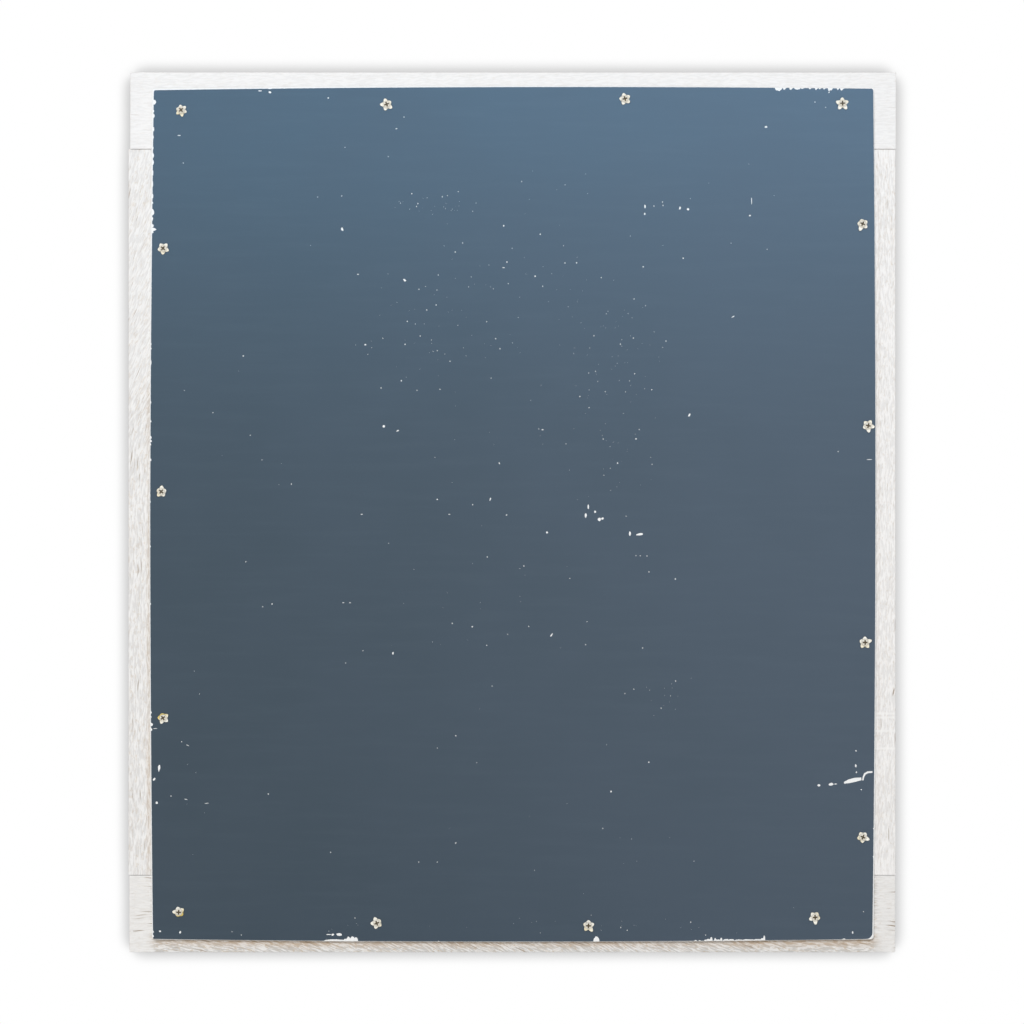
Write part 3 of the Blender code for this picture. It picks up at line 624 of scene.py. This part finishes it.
def whitewashed_oak(name, along_x, lean, wash, grey, bare, stain, seed, bands=(), nick=None):
    """Open-grained oak under a thin white wash, barer on its back, with a brown band along the
    panel's edge that is part stain and part painted shadow of the panel. BOARDS says what is what.
    """
    material, tree = new_material(name)
    stain_and_shadow_place, stain_and_shadow_half, stain_depth, stretch_start, stretch_end, beyond = stain
    board = place_on(object_place(tree), turn=(0, 90, 0) if along_x else (0, 0, 0))
    ways = node(tree, "SeparateXYZ", Vector=board).outputs
    wander = cloud(place_on(board, shift=(seed, 0, 0)), 11, 4, 0.6)
    shift = spread(ways["Z"], lean[0], lean[1], 0, lean[2])
    shift = plus(shift, times(wander, WANDER_MM * MM))
    shift = plus(shift, times(ways["Y"], 0.4))
    across = minus(ways["X"], shift)
    grain = node(tree, "CombineXYZ", X=across, Y=ways["Y"], Z=ways["Z"]).outputs[0]
    grain = place_on(grain, shift=(seed * 0.37, seed, 0))

    # The stretch along the board where the brown band, part stain and part painted shadow of the
    # panel, and the open grain show.
    start = [(stretch_start + side * STRETCH_FADE_MM) * MM for side in (-1, 1)]
    end = [(stretch_end + side * STRETCH_FADE_MM) * MM for side in (-1, 1)]
    stain_and_shadow_stretch = spread(ways["Z"], *start)
    stain_and_shadow_stretch = times(stain_and_shadow_stretch, spread(ways["Z"], *end, 1, 0))
    open_grain = spread(stain_and_shadow_stretch, 0, 1, beyond, 1)
    gate = cloud(grain, 75, 2, 0.5, (1, 1, 0.22))
    level = cloud(grain, 380, 2.5, 0.55, (1, 0.5, 0.07), distortion=0.2)
    lines = spread(away_from(level, 0.5), 0, 0.05, 1, 0)
    lines = times(lines, spread(gate, 0.4, 0.62, 0.2, 1))
    slashes = strokes(across, ways["Z"], bare * 2)
    fibres = cloud(grain, 800, 2, 0.6, (1, 0.5, 0.15))
    pores = spread(cloud(grain, 620, 2, 0.6, (1, 0.6, 0.4)), 0.55, 0.66)
    tone = cloud(grain, 170, 3, 0.6, (1, 1, 0.07))
    patches = cloud(grain, 22, 3, 0.55, (1, 1, 0.4))

    thin = times(spread(fibres, 0.42, 0.58), 0.8)
    thin = plus(thin, spread(tone, 0.38, 0.66, 0, 0.1))
    veil = mix(times(thin, open_grain), wash, grey)
    shown = plus(times(lines, bare), times(pores, bare * 1.6))
    shown = times(shown, open_grain)
    back = spread(facing(tree, "Y"), 0.3, 0.9)
    shown = plus(shown, times(back, 0.38), clamp=True)
    colour = mix(shown, veil, mix(tone, OAK_PALE, OAK_BROWN))
    # A brown band beside the panel's edge: part real stain, part painted shadow that the panel
    # casts on the board.
    off = away_from(ways["X"], stain_and_shadow_place * MM)
    brown = times(spread(off, 0, stain_and_shadow_half * MM, stain_depth, 0), stain_and_shadow_stretch)
    brown = times(brown, spread(patches, 0.35, 0.6, 0.5, 1))
    brown = times(brown, spread(fibres, 0.38, 0.6, 0.45, 1))
    colour = mix(brown, colour, STAIN_AND_SHADOW_BROWN)
    colour = mix(times(slashes, min(0.95, bare * 3.4)), colour, OAK_DARK)
    colour = wood_marks(ways, colour, bands, nick)

    relief = times(plus(times(plus(lines, pores), 0.5), slashes), -1)
    rough = spread(shown, 0, 0.6, 0.52, 0.72)
    return surface(material, colour, rough, relief, 0.1, 0.45, Specular_IOR_Level=0.35)


def slate_paint():
    """Satin slate-blue paint with faint roller streaks, fine chalk dust, and painted light that
    makes it lighter towards the right.
    """
    material, tree = new_material("slate_blue_paint")
    place = object_place(tree)
    clouds = cloud(place, 7, 4, 0.6)
    roller = cloud(place, 110, 3, 0.6, (0.1, 1, 1))
    stipple = cloud(place, 620, 2, 0.6)
    patchy = spread(clouds, 0.3, 0.7)
    colour = mix(patchy, (0.029, 0.051, 0.073), (0.033, 0.054, 0.077))
    streaks = spread(roller, 0.42, 0.75, 0, 0.5)
    colour = mix(streaks, colour, (0.039, 0.063, 0.087))
    dust = times(spread(stipple, 0.6, 0.8), 0.05)
    # Painted light: the paint grows lighter and bluer towards the right, standing in for light that
    # falls stronger there.
    right = node(tree, "SeparateXYZ", Vector=place).outputs["X"]
    painted_right_light = spread(right, -0.36, 0.36, 0, 0.15)
    colour = mix(plus(dust, painted_right_light), colour, (0.18, 0.235, 0.33))
    rough = spread(clouds, 0.3, 0.7, 0.37, 0.41)
    return surface(material, colour, rough, stipple, 0.05, 0.3)


def panel_board():
    """White priming on the front and sides of a brown fibreboard, which is bare behind."""
    material, tree = new_material("primed_fibreboard")
    place = object_place(tree)
    fibres = cloud(place_on(place, scale=(1, 1, 0.3), turn=(0, 20, 0)), 900, 4, 0.7)
    mottle = cloud(place, 14, 4, 0.6)
    brown = mix(mottle, (0.36, 0.25, 0.16), (0.44, 0.32, 0.21))
    brown = mix(spread(fibres, 0.35, 0.75), brown, (0.56, 0.44, 0.31))
    white = mix(spread(fibres, 0.4, 0.7), (0.92, 0.93, 0.93), (0.87, 0.88, 0.88))
    back = spread(facing(tree, "Y"), 0.3, 0.8)
    rough = spread(back, 0, 1, 0.45, 0.8)
    return surface(material, mix(back, white, brown), rough, fibres, 0.06, 0.4)


def enamel(name, pale, grime_and_shade_colour, rough):
    """Worn cream enamel, dark where it is soiled and where shade is painted into creases, recesses
    and under rims, yellow where it is stained.
    """
    material, tree = new_material(name)
    place = object_place(tree)
    grime = node(tree, "Attribute", {"attribute_name": "grime"}).outputs["Fac"]
    stain = node(tree, "Attribute", {"attribute_name": "stain"}).outputs["Fac"]
    speckle = cloud(place, 1500, 3, 0.6)
    wear = cloud(place, 420, 3, 0.6)
    colour = mix(spread(wear, 0.35, 0.7), pale, [c * 0.95 for c in pale])
    colour = mix(stain, colour, (0.8, 0.64, 0.22))
    # Dark where soiled and where shade is painted in.
    uneven = plus(grime, times(speckle, 0.2))
    colour = mix(spread(uneven, 0.32, 1), colour, grime_and_shade_colour)
    rough = spread(uneven, 0.2, 1, rough, 0.75)
    return surface(material, colour, rough, wear, 0.05, 0.4)


def zinc():
    material, tree = new_material("zinc_plated_steel")
    place = object_place(tree)
    scuffs = cloud(place_on(place, scale=(1, 1, 0.08), turn=(0, 30, 0)), 1400, 3, 0.7)
    bloom = cloud(place, 260, 3, 0.6)
    colour = mix(spread(bloom, 0.35, 0.7), (0.66, 0.66, 0.64), (0.5, 0.5, 0.47))
    rough = spread(scuffs, 0.3, 0.75, 0.28, 0.48)
    return surface(material, colour, rough, scuffs, 0.01, 0.4, Metallic=1)


def beech():
    material, tree = new_material("beech")
    fibres = cloud(object_place(tree), 1600, 3, 0.6, (1, 1, 0.06))
    colour = mix(fibres, (0.66, 0.47, 0.3), (0.52, 0.34, 0.2))
    rough = spread(fibres, 0.3, 0.7, 0.6, 0.75)
    return surface(material, colour, rough, fibres, 0.05, 0.4)


def rubber():
    material, tree = new_material("grey_rubber")
    place = object_place(tree)
    grain = cloud(place, 1800, 3, 0.7)
    dust = cloud(place, 160, 3, 0.6)
    colour = mix(spread(dust, 0.4, 0.7), (0.055, 0.055, 0.055), (0.11, 0.11, 0.105))
    return surface(material, colour, spread(grain, 0.3, 0.7, 0.7, 0.9), grain, 0.04, 0.5)


def stand_in(piece, solid, body="board"):
    """Puts a finer piece in the place of one of the model's solids."""
    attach(piece, body)
    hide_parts(solid)


def dress(piece, material):
    piece.data.materials.clear()
    piece.data.materials.append(material)


def carry(names, material):
    """Gives the model's own solids a material."""
    for name in names:
        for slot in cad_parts[name].material_slots:
            slot.material = material


def on_face(photo_x, photo_y):
    """Where a place in the photo lies on the panel's face, in millimetres right and up."""
    right = (photo_x - PHOTO_MIDDLE) * FACE_PIXEL_MM
    down = (photo_y - PHOTO_MIDDLE) * FACE_PIXEL_MM
    return Vector((right, VIEW_CENTRE_Z / MM - down))


def chip_depth(chips, place):
    """How much further in the paint stops at a place along a side, in millimetres."""
    depth = 0
    for middle, half, most in chips:
        share = abs(place - middle) / half
        if share < 1:
            ragged = 0.92 + 0.3 * noise.noise(Vector((place * 1.4, middle, 0)))
            depth = max(depth, most * ragged * sqrt(1 - share**2))
    return depth


def side_places(start, end, chips):
    """Where along a side the paint's edge has a point: closer together in the chips."""
    count = round((end - start) / OUTLINE_STEP_MM)
    places = [start + (end - start) * i / count for i in range(count + 1)]
    for middle, half, _ in chips:
        places += [middle + half * share for share in CHIP_SHARES if start < middle < end]
    kept = [start]
    for place in sorted(places):
        if place - kept[-1] > OUTLINE_LEAST_MM and place < end:
            kept.append(place)
    return kept + [end]


def paint_outline(middle, half):
    """The paint's chipped edge, clockwise from the top left, in millimetres right and up.

    middle is the panel's middle, and half is half its widest width and height.
    """
    points = []
    for number, (side, way, margins, bend) in enumerate(PAINT_SIDES):
        out = Vector(way)
        run = Vector((out.y, -out.x))
        reach = abs(half.dot(out))
        corner = abs(half.dot(run)) - PANEL_BELLY_MM
        last_margins, last_bend = PAINT_SIDES[number - 1][2:]
        next_margins = PAINT_SIDES[(number + 1) % len(PAINT_SIDES)][2]
        chips = []
        for photo_place, length, depth in CHIPS[side]:
            place = (on_face(photo_place, photo_place) - middle).dot(run)
            chips.append((place, length * FACE_PIXEL_MM / 2, depth * FACE_PIXEL_MM))
        start = last_margins[2] + last_bend - corner
        end = corner - next_margins[0] - bend
        for place in side_places(start, end, chips):
            share = place / corner
            ahead = margins[2] if share > 0 else margins[0]
            margin = margins[1] + (ahead - margins[1]) * abs(share)
            waver = PAINT_WAVER_MM * noise.noise(Vector((place / 2.2, number, 3.1)))
            belly = PANEL_BELLY_MM * min(1, abs(place) / (corner - PANEL_CORNER_MM)) ** 2
            inset = margin + waver + belly + chip_depth(chips, place)
            points.append(middle + run * place + out * (reach - inset))
        centre = points[-1] - out * bend
        for step in range(1, CORNER_STEPS):
            angle = pi / 2 * step / CORNER_STEPS
            points.append(centre + (out * cos(angle) + run * sin(angle)) * bend)
    return points


def blob(place, width, height, seed, tilt=0):
    """A small uneven closed outline round a place, in millimetres."""
    steps = BLOB_STEPS if max(width, height) > SMALL_BLOB_MM else SMALL_BLOB_STEPS
    spin = Matrix.Rotation(radians(tilt), 2)
    points = []
    for i in range(steps):
        angle = tau * i / steps
        wobble = 1 + 0.4 * noise.noise(Vector((seed * 3.7, i * 1.9, 0.5)))
        edge = Vector((width * cos(angle), height * sin(angle))) * wobble / 2
        points.append(place + spin @ edge)
    return points


def scratch(points):
    """The outline of a stroke of changing width."""
    first = []
    second = []
    for i, (x, y, width) in enumerate(points):
        before = points[max(0, i - 1)]
        after = points[min(len(points) - 1, i + 1)]
        run = (on_face(*after[:2]) - on_face(*before[:2])).normalized()
        side = Vector((-run.y, run.x)) * width * FACE_PIXEL_MM / 2
        uneven = 1 + 0.3 * noise.noise(Vector((x, y, 1.7)))
        first.append(on_face(x, y) + side * uneven)
        second.append(on_face(x, y) - side)
    return first + second[::-1]


def specks(studs, middle, half):
    """Fine specks that keep clear of each other, of the larger gaps and of the rosettes."""
    rng = random.Random(11)
    taken = [(stud, STUD_CLEARANCE_MM) for stud in studs]
    marks = [*BARE_SPOTS, *BARE_DOTS, *(place for line in SCRATCHES for place in line)]
    taken += [(on_face(*mark[:2]), SPECK_CLEARANCE_MM) for mark in marks]
    shares = [field[4] for field in SPECK_FIELDS]
    found = []
    while len(found) < SPECK_COUNT:
        middle_x, middle_y, spread_x, spread_y, _ = rng.choices(SPECK_FIELDS, shares)[0]
        place = on_face(rng.gauss(middle_x, spread_x), rng.gauss(middle_y, spread_y))
        size = SPECK_LEAST_MM + SPECK_MORE_MM * rng.random() ** 3
        tall = rng.choice(SPECK_TALLNESS)
        away = place - middle
        if abs(away.x) > half.x - SPECK_EDGE_MM or abs(away.y) > half.y - SPECK_EDGE_MM:
            continue
        if any((place - other).length < room for other, room in taken):
            continue
        taken.append((place, SPECK_GAP_MM))
        found.append(blob(place, size, size * tall, len(found)))
    return found


def add_paint(studs):
    """A thin skin of paint on the panel's face, with gaps where the priming shows."""
    low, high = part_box("writing_panel")
    middle = Vector((low.x + high.x, low.z + high.z)) / 2 / MM
    half = Vector((high.x - low.x, high.z - low.z)) / 2 / MM
    size = FACE_PIXEL_MM
    loops = [paint_outline(middle, half)]
    loops += [[stud + Vector(p) for p in arc((0, 0), SCREW_HOLE_MM, 0, 330, 11)] for stud in studs]
    for seed, (x, y, width, height, *tilt) in enumerate(BARE_SPOTS):
        loops.append(blob(on_face(x, y), width * size, height * size, seed, *tilt))
    for seed, (x, y, width) in enumerate(BARE_DOTS):
        width *= size * DOT_SHARE
        loops.append(blob(on_face(x, y), width, width, seed + 0.5))
    loops += [scratch(line) for line in SCRATCHES]
    loops += specks(studs, middle, half)
    loops = [[point * MM for point in loop] for loop in loops]
    mesh = filled_outline("slate_paint", loops, PAINT_THICKNESS)
    paint = add_piece("slate_paint", mesh, (0, low.y - PAINT_THICKNESS / 2, 0), TO_FRONT)
    dress(paint, slate_paint())
    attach(paint, "board")


def petal_rows(length, way):
    """One section of a rosette as (radius, level, darkness from soiling and painted shade), from
    the bore's foot round the rim.
    """
    crease = abs(way)
    bulge = ((1 + cos(pi * way)) / 2) ** PETAL_POINT
    reach = VALLEY_MM + length * bulge
    lift = PETAL_CURL * length * bulge
    rows = [(BORE_MM, 0, 1), (VALLEY_MM - FOOT_INSET_MM, 0, 1)]
    rows += [(reach - inwards, lift + up, dirt_and_shade) for inwards, up, dirt_and_shade in PETAL_RIM]
    collar = CREST_MM - PLATE_MM
    for i in range(TOP_ROWS):
        share = max(0, 1 - (i + FIRST_ROW) / (TOP_ROWS - 1 + FIRST_ROW))
        beyond = (reach - TIP_INSET_MM - SEAT_RIM_MM) * share
        hollow = PETAL_HOLLOW_MM * sin(pi * share) * (1 - crease**2) * min(1, length)
        bead = PETAL_BEAD_MM * hump(1 - share, PETAL_BEAD_SHARE)
        fold = PETAL_CREASE_MM * crease**5 * min(1, beyond / PETAL_CREASE_START_MM)
        rise = collar * hump(beyond, COLLAR_FLARE_MM)
        level = PLATE_MM + lift * share**2 - hollow + bead - fold + rise
        # Darker in the creases between petals and along the hollow beyond the collar: soiling and
        # painted shade.
        dirt_and_shade = 0.9 * crease**6 * (1 - share * 0.3)
        dirt_and_shade += 0.22 * hump(beyond - COLLAR_GRIME_AND_SHADE_MM[0], COLLAR_GRIME_AND_SHADE_MM[1])
        rows.append((SEAT_RIM_MM + beyond, level, min(1, dirt_and_shade)))
    rows.append((SEAT_RIM_MM - COLLAR_EDGE_MM[0], CREST_MM - COLLAR_EDGE_MM[1], 0.2))
    rows.append((BORE_MM, SEAT_FLOOR_MM, 1))
    return rows


def rosette_mesh(name, turn, lengths, stain_way, stain_depth):
    work = bmesh.new()
    grime = []
    stains = []
    sections = []
    sector = tau / len(lengths)
    for number, length in enumerate(lengths):
        for step in range(-PETAL_STEPS, PETAL_STEPS):
            way = step / PETAL_STEPS
            angle = radians(turn) + sector * (number + way / 2)
            section = []
            for radius, level, dirt_and_shade in petal_rows(length, way):
                place = Vector((radius * cos(angle), radius * sin(angle), level))
                key = place * HAMMER_MARKS_PER_MM + Vector((turn, 0, 0))
                if level > 0:
                    place += noise.noise_vector(key) * HAMMERED_MM * (radius > SEAT_RIM_MM)
                section.append(work.verts.new(place * MM))
                near = (1 + cos(angle - radians(stain_way))) / 2
                grime.append(dirt_and_shade)
                stains.append(min(1, stain_depth * near**2 * min(1, radius / VALLEY_MM)))
            sections.append(section)
    loft(work, sections + sections[:1])
    mesh = mesh_of(name, work)
    set_point_values(mesh, grime=grime, stain=stains)
    smooth(mesh, 50)
    return mesh


def cross_cutter(name, top_mm):
    """A plus-shaped punch that narrows downwards, standing from the recess's floor."""
    work = bmesh.new()
    rings = []
    floor = (RECESS_TAPER, top_mm - RECESS_DEPTH_MM)
    for share, level in (floor, (RECESS_FLARE, top_mm + RECESS_CLEAR_MM)):
        arm = RECESS_ARM_MM * share
        half = RECESS_HALF_MM * (0.7 + 0.3 * share)
        ring = []
        for turn in range(4):
            spin = Matrix.Rotation(pi / 2 * turn, 2)
            for corner in ((arm, -half), (arm, half), (half, half)):
                x, y = spin @ Vector(corner)
                ring.append(work.verts.new((x * MM, y * MM, level * MM)))
        rings.append(ring)
    loft(work, rings)
    work.faces.new(rings[0])
    work.faces.new(rings[1][::-1])
    return add_piece(name, mesh_of(name, work))


def screw_mesh(name, dome_mm, cone_mm, shank_mm, length_mm, point_mm):
    """A screw on +Z, its head's rim at zero, with a cross recess punched in its dome."""
    angles = [radians(a) for a in range(0, 91, 9)]
    profile = [(HEAD_MM * sin(a), dome_mm * cos(a)) for a in angles]
    profile[0] = (0, dome_mm)
    inset, drop = HEAD_EDGE_MM
    profile += [(HEAD_MM - inset, -drop), (shank_mm, -max(cone_mm, drop + 0.01))]
    profile += [(shank_mm, point_mm - length_mm), (0, -length_mm)]
    blank = add_piece(name, turned(name, profile, TURNED_STEPS))
    punch = cross_cutter(name + "_punch", dome_mm)
    cut(blank, punch)
    mesh = applied(blank)
    bpy.data.objects.remove(punch, do_unlink=True)
    grime = []
    for vertex in mesh.vertices:
        radius = hypot(vertex.co.x, vertex.co.y) / MM
        level = vertex.co.z / MM
        long, short = sorted((abs(vertex.co.x) / MM, abs(vertex.co.y) / MM), reverse=True)
        # All dark inside the recess and under the head, darker along the recess's edge and at the
        # head's rim: painted shade with some soiling.
        off = max(0, long - RECESS_ARM_MM, short - RECESS_HALF_MM)
        inside = radius < RECESS_ARM_MM * 1.3 and level < dome_mm - TOP_GRIME_AND_SHADE_MM
        edge = 0.8 * hump(off, RECESS_GRIME_AND_SHADE_MM) + 0.5 * (radius / HEAD_MM) ** 8
        grime.append(1 if inside or level < -RIM_GRIME_AND_SHADE_MM else min(1, edge))
    set_point_values(mesh, grime=grime, stain=[0] * len(grime))
    smooth(mesh, 40)
    return mesh


def add_rosettes():
    """A petalled rosette and its screw in the place of each of the model's."""
    cream = enamel("cream_enamel", (0.97, 0.95, 0.875), (0.22, 0.18, 0.09), 0.34)
    head = enamel("cream_screw_enamel", (0.8, 0.76, 0.66), (0.13, 0.1, 0.055), 0.38)
    sizes = (DOME_MM, CONE_MM, SHANK_MM, SCREW_LENGTH_MM, SCREW_POINT_MM)
    screw = screw_mesh("rosette_screw", *sizes)
    screw.materials.append(head)
    studs = []
    for name, (turn, lengths, stain_way, stain_depth) in PETALS.items():
        low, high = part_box("screw_" + name)
        x = (low.x + high.x) / 2
        z = (low.z + high.z) / 2
        studs.append(Vector((x, z)) / MM)
        rim_level = low.y + DOME_MM * MM
        mesh = rosette_mesh("flower_" + name, turn, lengths, stain_way, stain_depth)
        place = (x, rim_level + CREST_MM * MM, z)
        rosette = add_piece("flower_" + name, mesh, place, TO_FRONT)
        dress(rosette, cream)
        spin = Matrix.Rotation(radians(turn), 4, "Z")
        pin = add_piece("cross_screw_" + name, screw, (x, rim_level, z), TO_FRONT @ spin)
        stand_in(rosette, "rosette_" + name)
        stand_in(pin, "screw_" + name)
    return studs


def ring_mesh(name):
    """A D ring of round wire that hangs down from its bar on the X axis."""
    half = RING_HALF_MM
    corner = RING_CORNER_MM
    path = [(x, 0) for x in RING_BAR_MM]
    path += arc((half - corner, -corner), corner, 90, 0, 8)
    path += arc((0, half - RING_DROP_MM), half, 0, -180, 40)
    path += arc((corner - half, -corner), corner, 180, 90, 8)
    work = bmesh.new()
    rings = []
    for i, (x, y) in enumerate(path):
        ahead = Vector(path[(i + 1) % len(path)])
        run = (ahead - Vector(path[i - 1])).normalized()
        out = Vector((-run.y, run.x, 0))
        ring = []
        for side in range(RING_SIDES):
            angle = tau * side / RING_SIDES
            reach = out * cos(angle) + Vector((0, 0, 1)) * sin(angle)
            ring.append(work.verts.new((Vector((x, y, 0)) + reach * RING_WIRE_MM) * MM))
        rings.append(ring)
    loft(work, rings + rings[:1])
    mesh = mesh_of(name, work)
    smooth(mesh, 30)
    return mesh


def strap_mesh(name):
    """A steel strip folded round the ring's bar, both leaves down to a rounded tail."""
    half = STRAP_WIDTH_MM / 2
    pivot = STRAP_LEAF_MM + STRAP_LOOP_MM
    tail = [-STRAP_HOLE_MM - half * sin(radians(a)) for a in range(87, -1, -9)]
    loop = arc((0, pivot), STRAP_LOOP_MM, -90, STRAP_WRAP_DEGREES, 30)
    up, out = loop[-1]
    run = (out - STRAP_TOP_LEAF_MM) / tan(radians(STRAP_WRAP_DEGREES - 90))
    line = [(level, STRAP_LEAF_MM) for level in tail] + loop
    line += [(up - run, STRAP_TOP_LEAF_MM)] + [(level, STRAP_TOP_LEAF_MM) for level in tail[::-1]]
    work = bmesh.new()
    rows = []
    for up, out in line:
        below = max(0, -STRAP_HOLE_MM - up)
        wide = sqrt(max(0, half**2 - below**2))
        rows.append([work.verts.new((x * wide * MM, up * MM, out * MM)) for x in (-1, 1)])
    for row, following in zip(rows, rows[1:]):
        work.faces.new(row + following[::-1])
    strap = add_piece(name, mesh_of(name, work))
    sheet = strap.modifiers.new("sheet", "SOLIDIFY")
    sheet.thickness = STRAP_THICK_MM * MM
    sheet.offset = 0
    sheet.use_even_offset = True
    profile = [(0, DRILL_REACH_MM), (STRAP_HOLE_RADIUS_MM, DRILL_REACH_MM)]
    profile += [(radius, -level) for radius, level in profile[::-1]]
    drill = turned("drill", profile, DRILL_STEPS)
    drill = add_piece("drill", drill, (0, -STRAP_HOLE_MM * MM, 0))
    cut(strap, drill)
    soften = strap.modifiers.new("soften", "BEVEL")
    soften.width = STRAP_EDGE_MM * MM
    soften.segments = 2
    soften.limit_method = "ANGLE"
    soften.angle_limit = radians(50)
    mesh = applied(strap)
    bpy.data.objects.remove(drill, do_unlink=True)
    smooth(mesh, 40)
    return mesh


def add_hangers():
    steel = zinc()
    strap_data = strap_mesh("strap")
    ring_data = ring_mesh("ring")
    sizes = (PAN_HEIGHT_MM, 0, PAN_SHANK_MM, PAN_LENGTH_MM, PAN_POINT_MM)
    screw_data = screw_mesh("hanger_pan_screw", *sizes)
    for data in (strap_data, ring_data, screw_data):
        data.materials.append(steel)
    for side in ("left", "right"):
        low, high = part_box("hanger_ring_" + side)
        x = (low.x + high.x) / 2
        pivot = Vector((x, (low.y + high.y) / 2, high.z - RING_WIRE_MM * MM))
        strap = add_piece("strap_" + side, strap_data, (x, 0, pivot.z), TO_BACK)
        ring = add_piece("d_ring_" + side, ring_data, pivot, TO_BACK)
        low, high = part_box("hanger_screw_" + side)
        place = (x, high.y - PAN_HEIGHT_MM * MM, (low.z + high.z) / 2)
        screw = add_piece("pan_screw_" + side, screw_data, place, TO_BACK)
        stand_in(strap, "hanger_strap_" + side)
        stand_in(ring, "hanger_ring_" + side, side + "_ring")
        stand_in(screw, "hanger_screw_" + side)


def add_pads():
    """Moulded rubber pads with a rounded edge and a dished face."""
    low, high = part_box("wall_pad_left")
    top = (high.y - low.y) / MM
    radius = (high.x - low.x) / 2 / MM
    profile = [(radius * share, top - dip) for share, dip in PAD_DISH]
    for angle in PAD_EDGE_DEGREES:
        edge = Vector((sin(radians(angle)), cos(radians(angle))))
        profile.append(Vector((radius, top)) + (edge - Vector((1, 1))) * PAD_EDGE_MM)
    profile += [(radius, PAD_FOOT_MM), (radius - PAD_FOOT_MM, 0), (0, 0)]
    mesh = turned("rubber_pad", profile, PAD_STEPS)
    smooth(mesh, 35)
    mesh.materials.append(rubber())
    for side in ("left", "right"):
        low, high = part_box("wall_pad_" + side)
        place = ((low.x + high.x) / 2, low.y, (low.z + high.z) / 2)
        pad = add_piece("pad_" + side, mesh, place, TO_BACK)
        stand_in(pad, "wall_pad_" + side)


def add_plane(name, width, place, turn):
    work = bmesh.new()
    bmesh.ops.create_grid(work, x_segments=1, y_segments=1, size=width / 2)
    plane = add_piece(name, mesh_of(name, work), place, turn)
    return plane


def add_wall(y, z):
    """A white wall close behind the board, seen only from the front, with a soft contact shade."""
    wall = add_plane("wall", WALL_WIDTH, (0, y, z + WALL_WIDTH / 2), TO_FRONT)
    material, tree = new_material("wall_white")
    tree.nodes.remove(tree.nodes["Principled BSDF"])
    shade = node(tree, "AmbientOcclusion", {"samples": 24}, Distance=SHADOW_REACH).outputs["AO"]
    strength = spread(shade, 0.5, 0.93, SHADOW_DEPTH, 1)
    glow = node(tree, "Emission", Strength=strength)
    clear = node(tree, "BsdfTransparent")
    behind = node(tree, "NewGeometry").outputs["Backfacing"]
    blend = node(tree, "MixShader")
    for socket, value in zip(blend.inputs, (behind, glow.outputs[0], clear.outputs[0])):
        plug(socket, value)
    feed(tree.nodes["Material Output"], Surface=blend.outputs[0])
    dress(wall, material)
    for ray in ("diffuse", "glossy", "transmission", "volume_scatter", "shadow"):
        setattr(wall, "visible_" + ray, False)


def add_floor(z):
    floor = add_plane("floor", FLOOR_WIDTH, (0, 0, z), Matrix.Identity(4))
    material, tree = new_material("floor_pale")
    seen = node(tree, "LightPath").outputs["Is Camera Ray"]
    looks = {"Base_Color": (0.82, 0.81, 0.79, 1), "Roughness": 0.9, "Specular_IOR_Level": 0.1}
    glow = {"Emission_Color": (*WHITE, 1), "Emission_Strength": times(seen, FLOOR_GLOW)}
    feed(tree.nodes["Principled BSDF"], **looks, **glow)
    dress(floor, material)


def add_lamp(name, place, aim, size, power, colour, unseen_by=(), height=None):
    """A round lamp, or an oblong one where it has a height, and the rays that don't meet it."""
    data = bpy.data.lights.new(name, "AREA")
    data.shape = "RECTANGLE" if height else "DISK"
    data.size = size
    data.size_y = height or size
    data.energy = power
    data.color = colour
    turn = (Vector(aim) - Vector(place)).to_track_quat("-Z", "Y").to_matrix().to_4x4()
    lamp = add_piece(name, data, place, turn)
    for ray in ("camera", *unseen_by):
        setattr(lamp, "visible_" + ray, False)


def light_world():
    """White to the camera and in reflections, and a plain ambient light for the rest."""
    world = bpy.data.worlds.new("studio")
    bpy.context.scene.world = world
    world.use_nodes = True
    tree = world.node_tree
    path = node(tree, "LightPath")
    seen = plus(path.outputs["Is Camera Ray"], path.outputs["Is Glossy Ray"])
    seen = plus(seen, path.outputs["Is Transmission Ray"], clamp=True)
    strength = spread(seen, 0, 1, AMBIENT, 1)
    feed(tree.nodes["Background"], Color=(*WHITE, 1), Strength=strength)


def add_camera():
    data = bpy.data.cameras.new("camera")
    data.lens = LENS_MM
    data.sensor_width = SENSOR_MM
    distance = PHOTO_WIDTH_PIXELS * PIXEL_MM * MM * LENS_MM / SENSOR_MM
    camera = add_piece("camera", data, (0, FRAME_FRONT_Y - distance, VIEW_CENTRE_Z), TO_FRONT)
    bpy.context.scene.camera = camera


def add_stage(low, high):
    middle = (0, 0, (low.z + high.z) / 2)
    floor_level = low.z - FLOOR_DROP
    add_floor(floor_level)
    add_wall(high.y + WALL_CLEARANCE, floor_level)
    add_lamp("key", KEY_PLACE, middle, KEY_SIZE, KEY_POWER, KEY_COLOUR, ("glossy",))
    add_lamp("back", BACK_PLACE, middle, BACK_SIZE, BACK_POWER, WHITE)
    sheen = (SHEEN_WIDTH, SHEEN_POWER, SHEEN_COLOUR, ("diffuse",), SHEEN_HEIGHT)
    add_lamp("sheen", SHEEN_PLACE, middle, *sheen)
    light_world()
    bpy.context.scene.view_settings.view_transform = "Standard"


add_camera()
add_stage(cad_low, cad_high)

for board, look in BOARDS.items():
    side, kind = board.split("_")
    carry([board], whitewashed_oak("oak_" + side, kind == "rail", **look))
carry(["writing_panel"], panel_board())
carry([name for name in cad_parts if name.startswith("dowel_")], beech())

stud_places = add_rosettes()
add_paint(stud_places)
add_hangers()
add_pads()
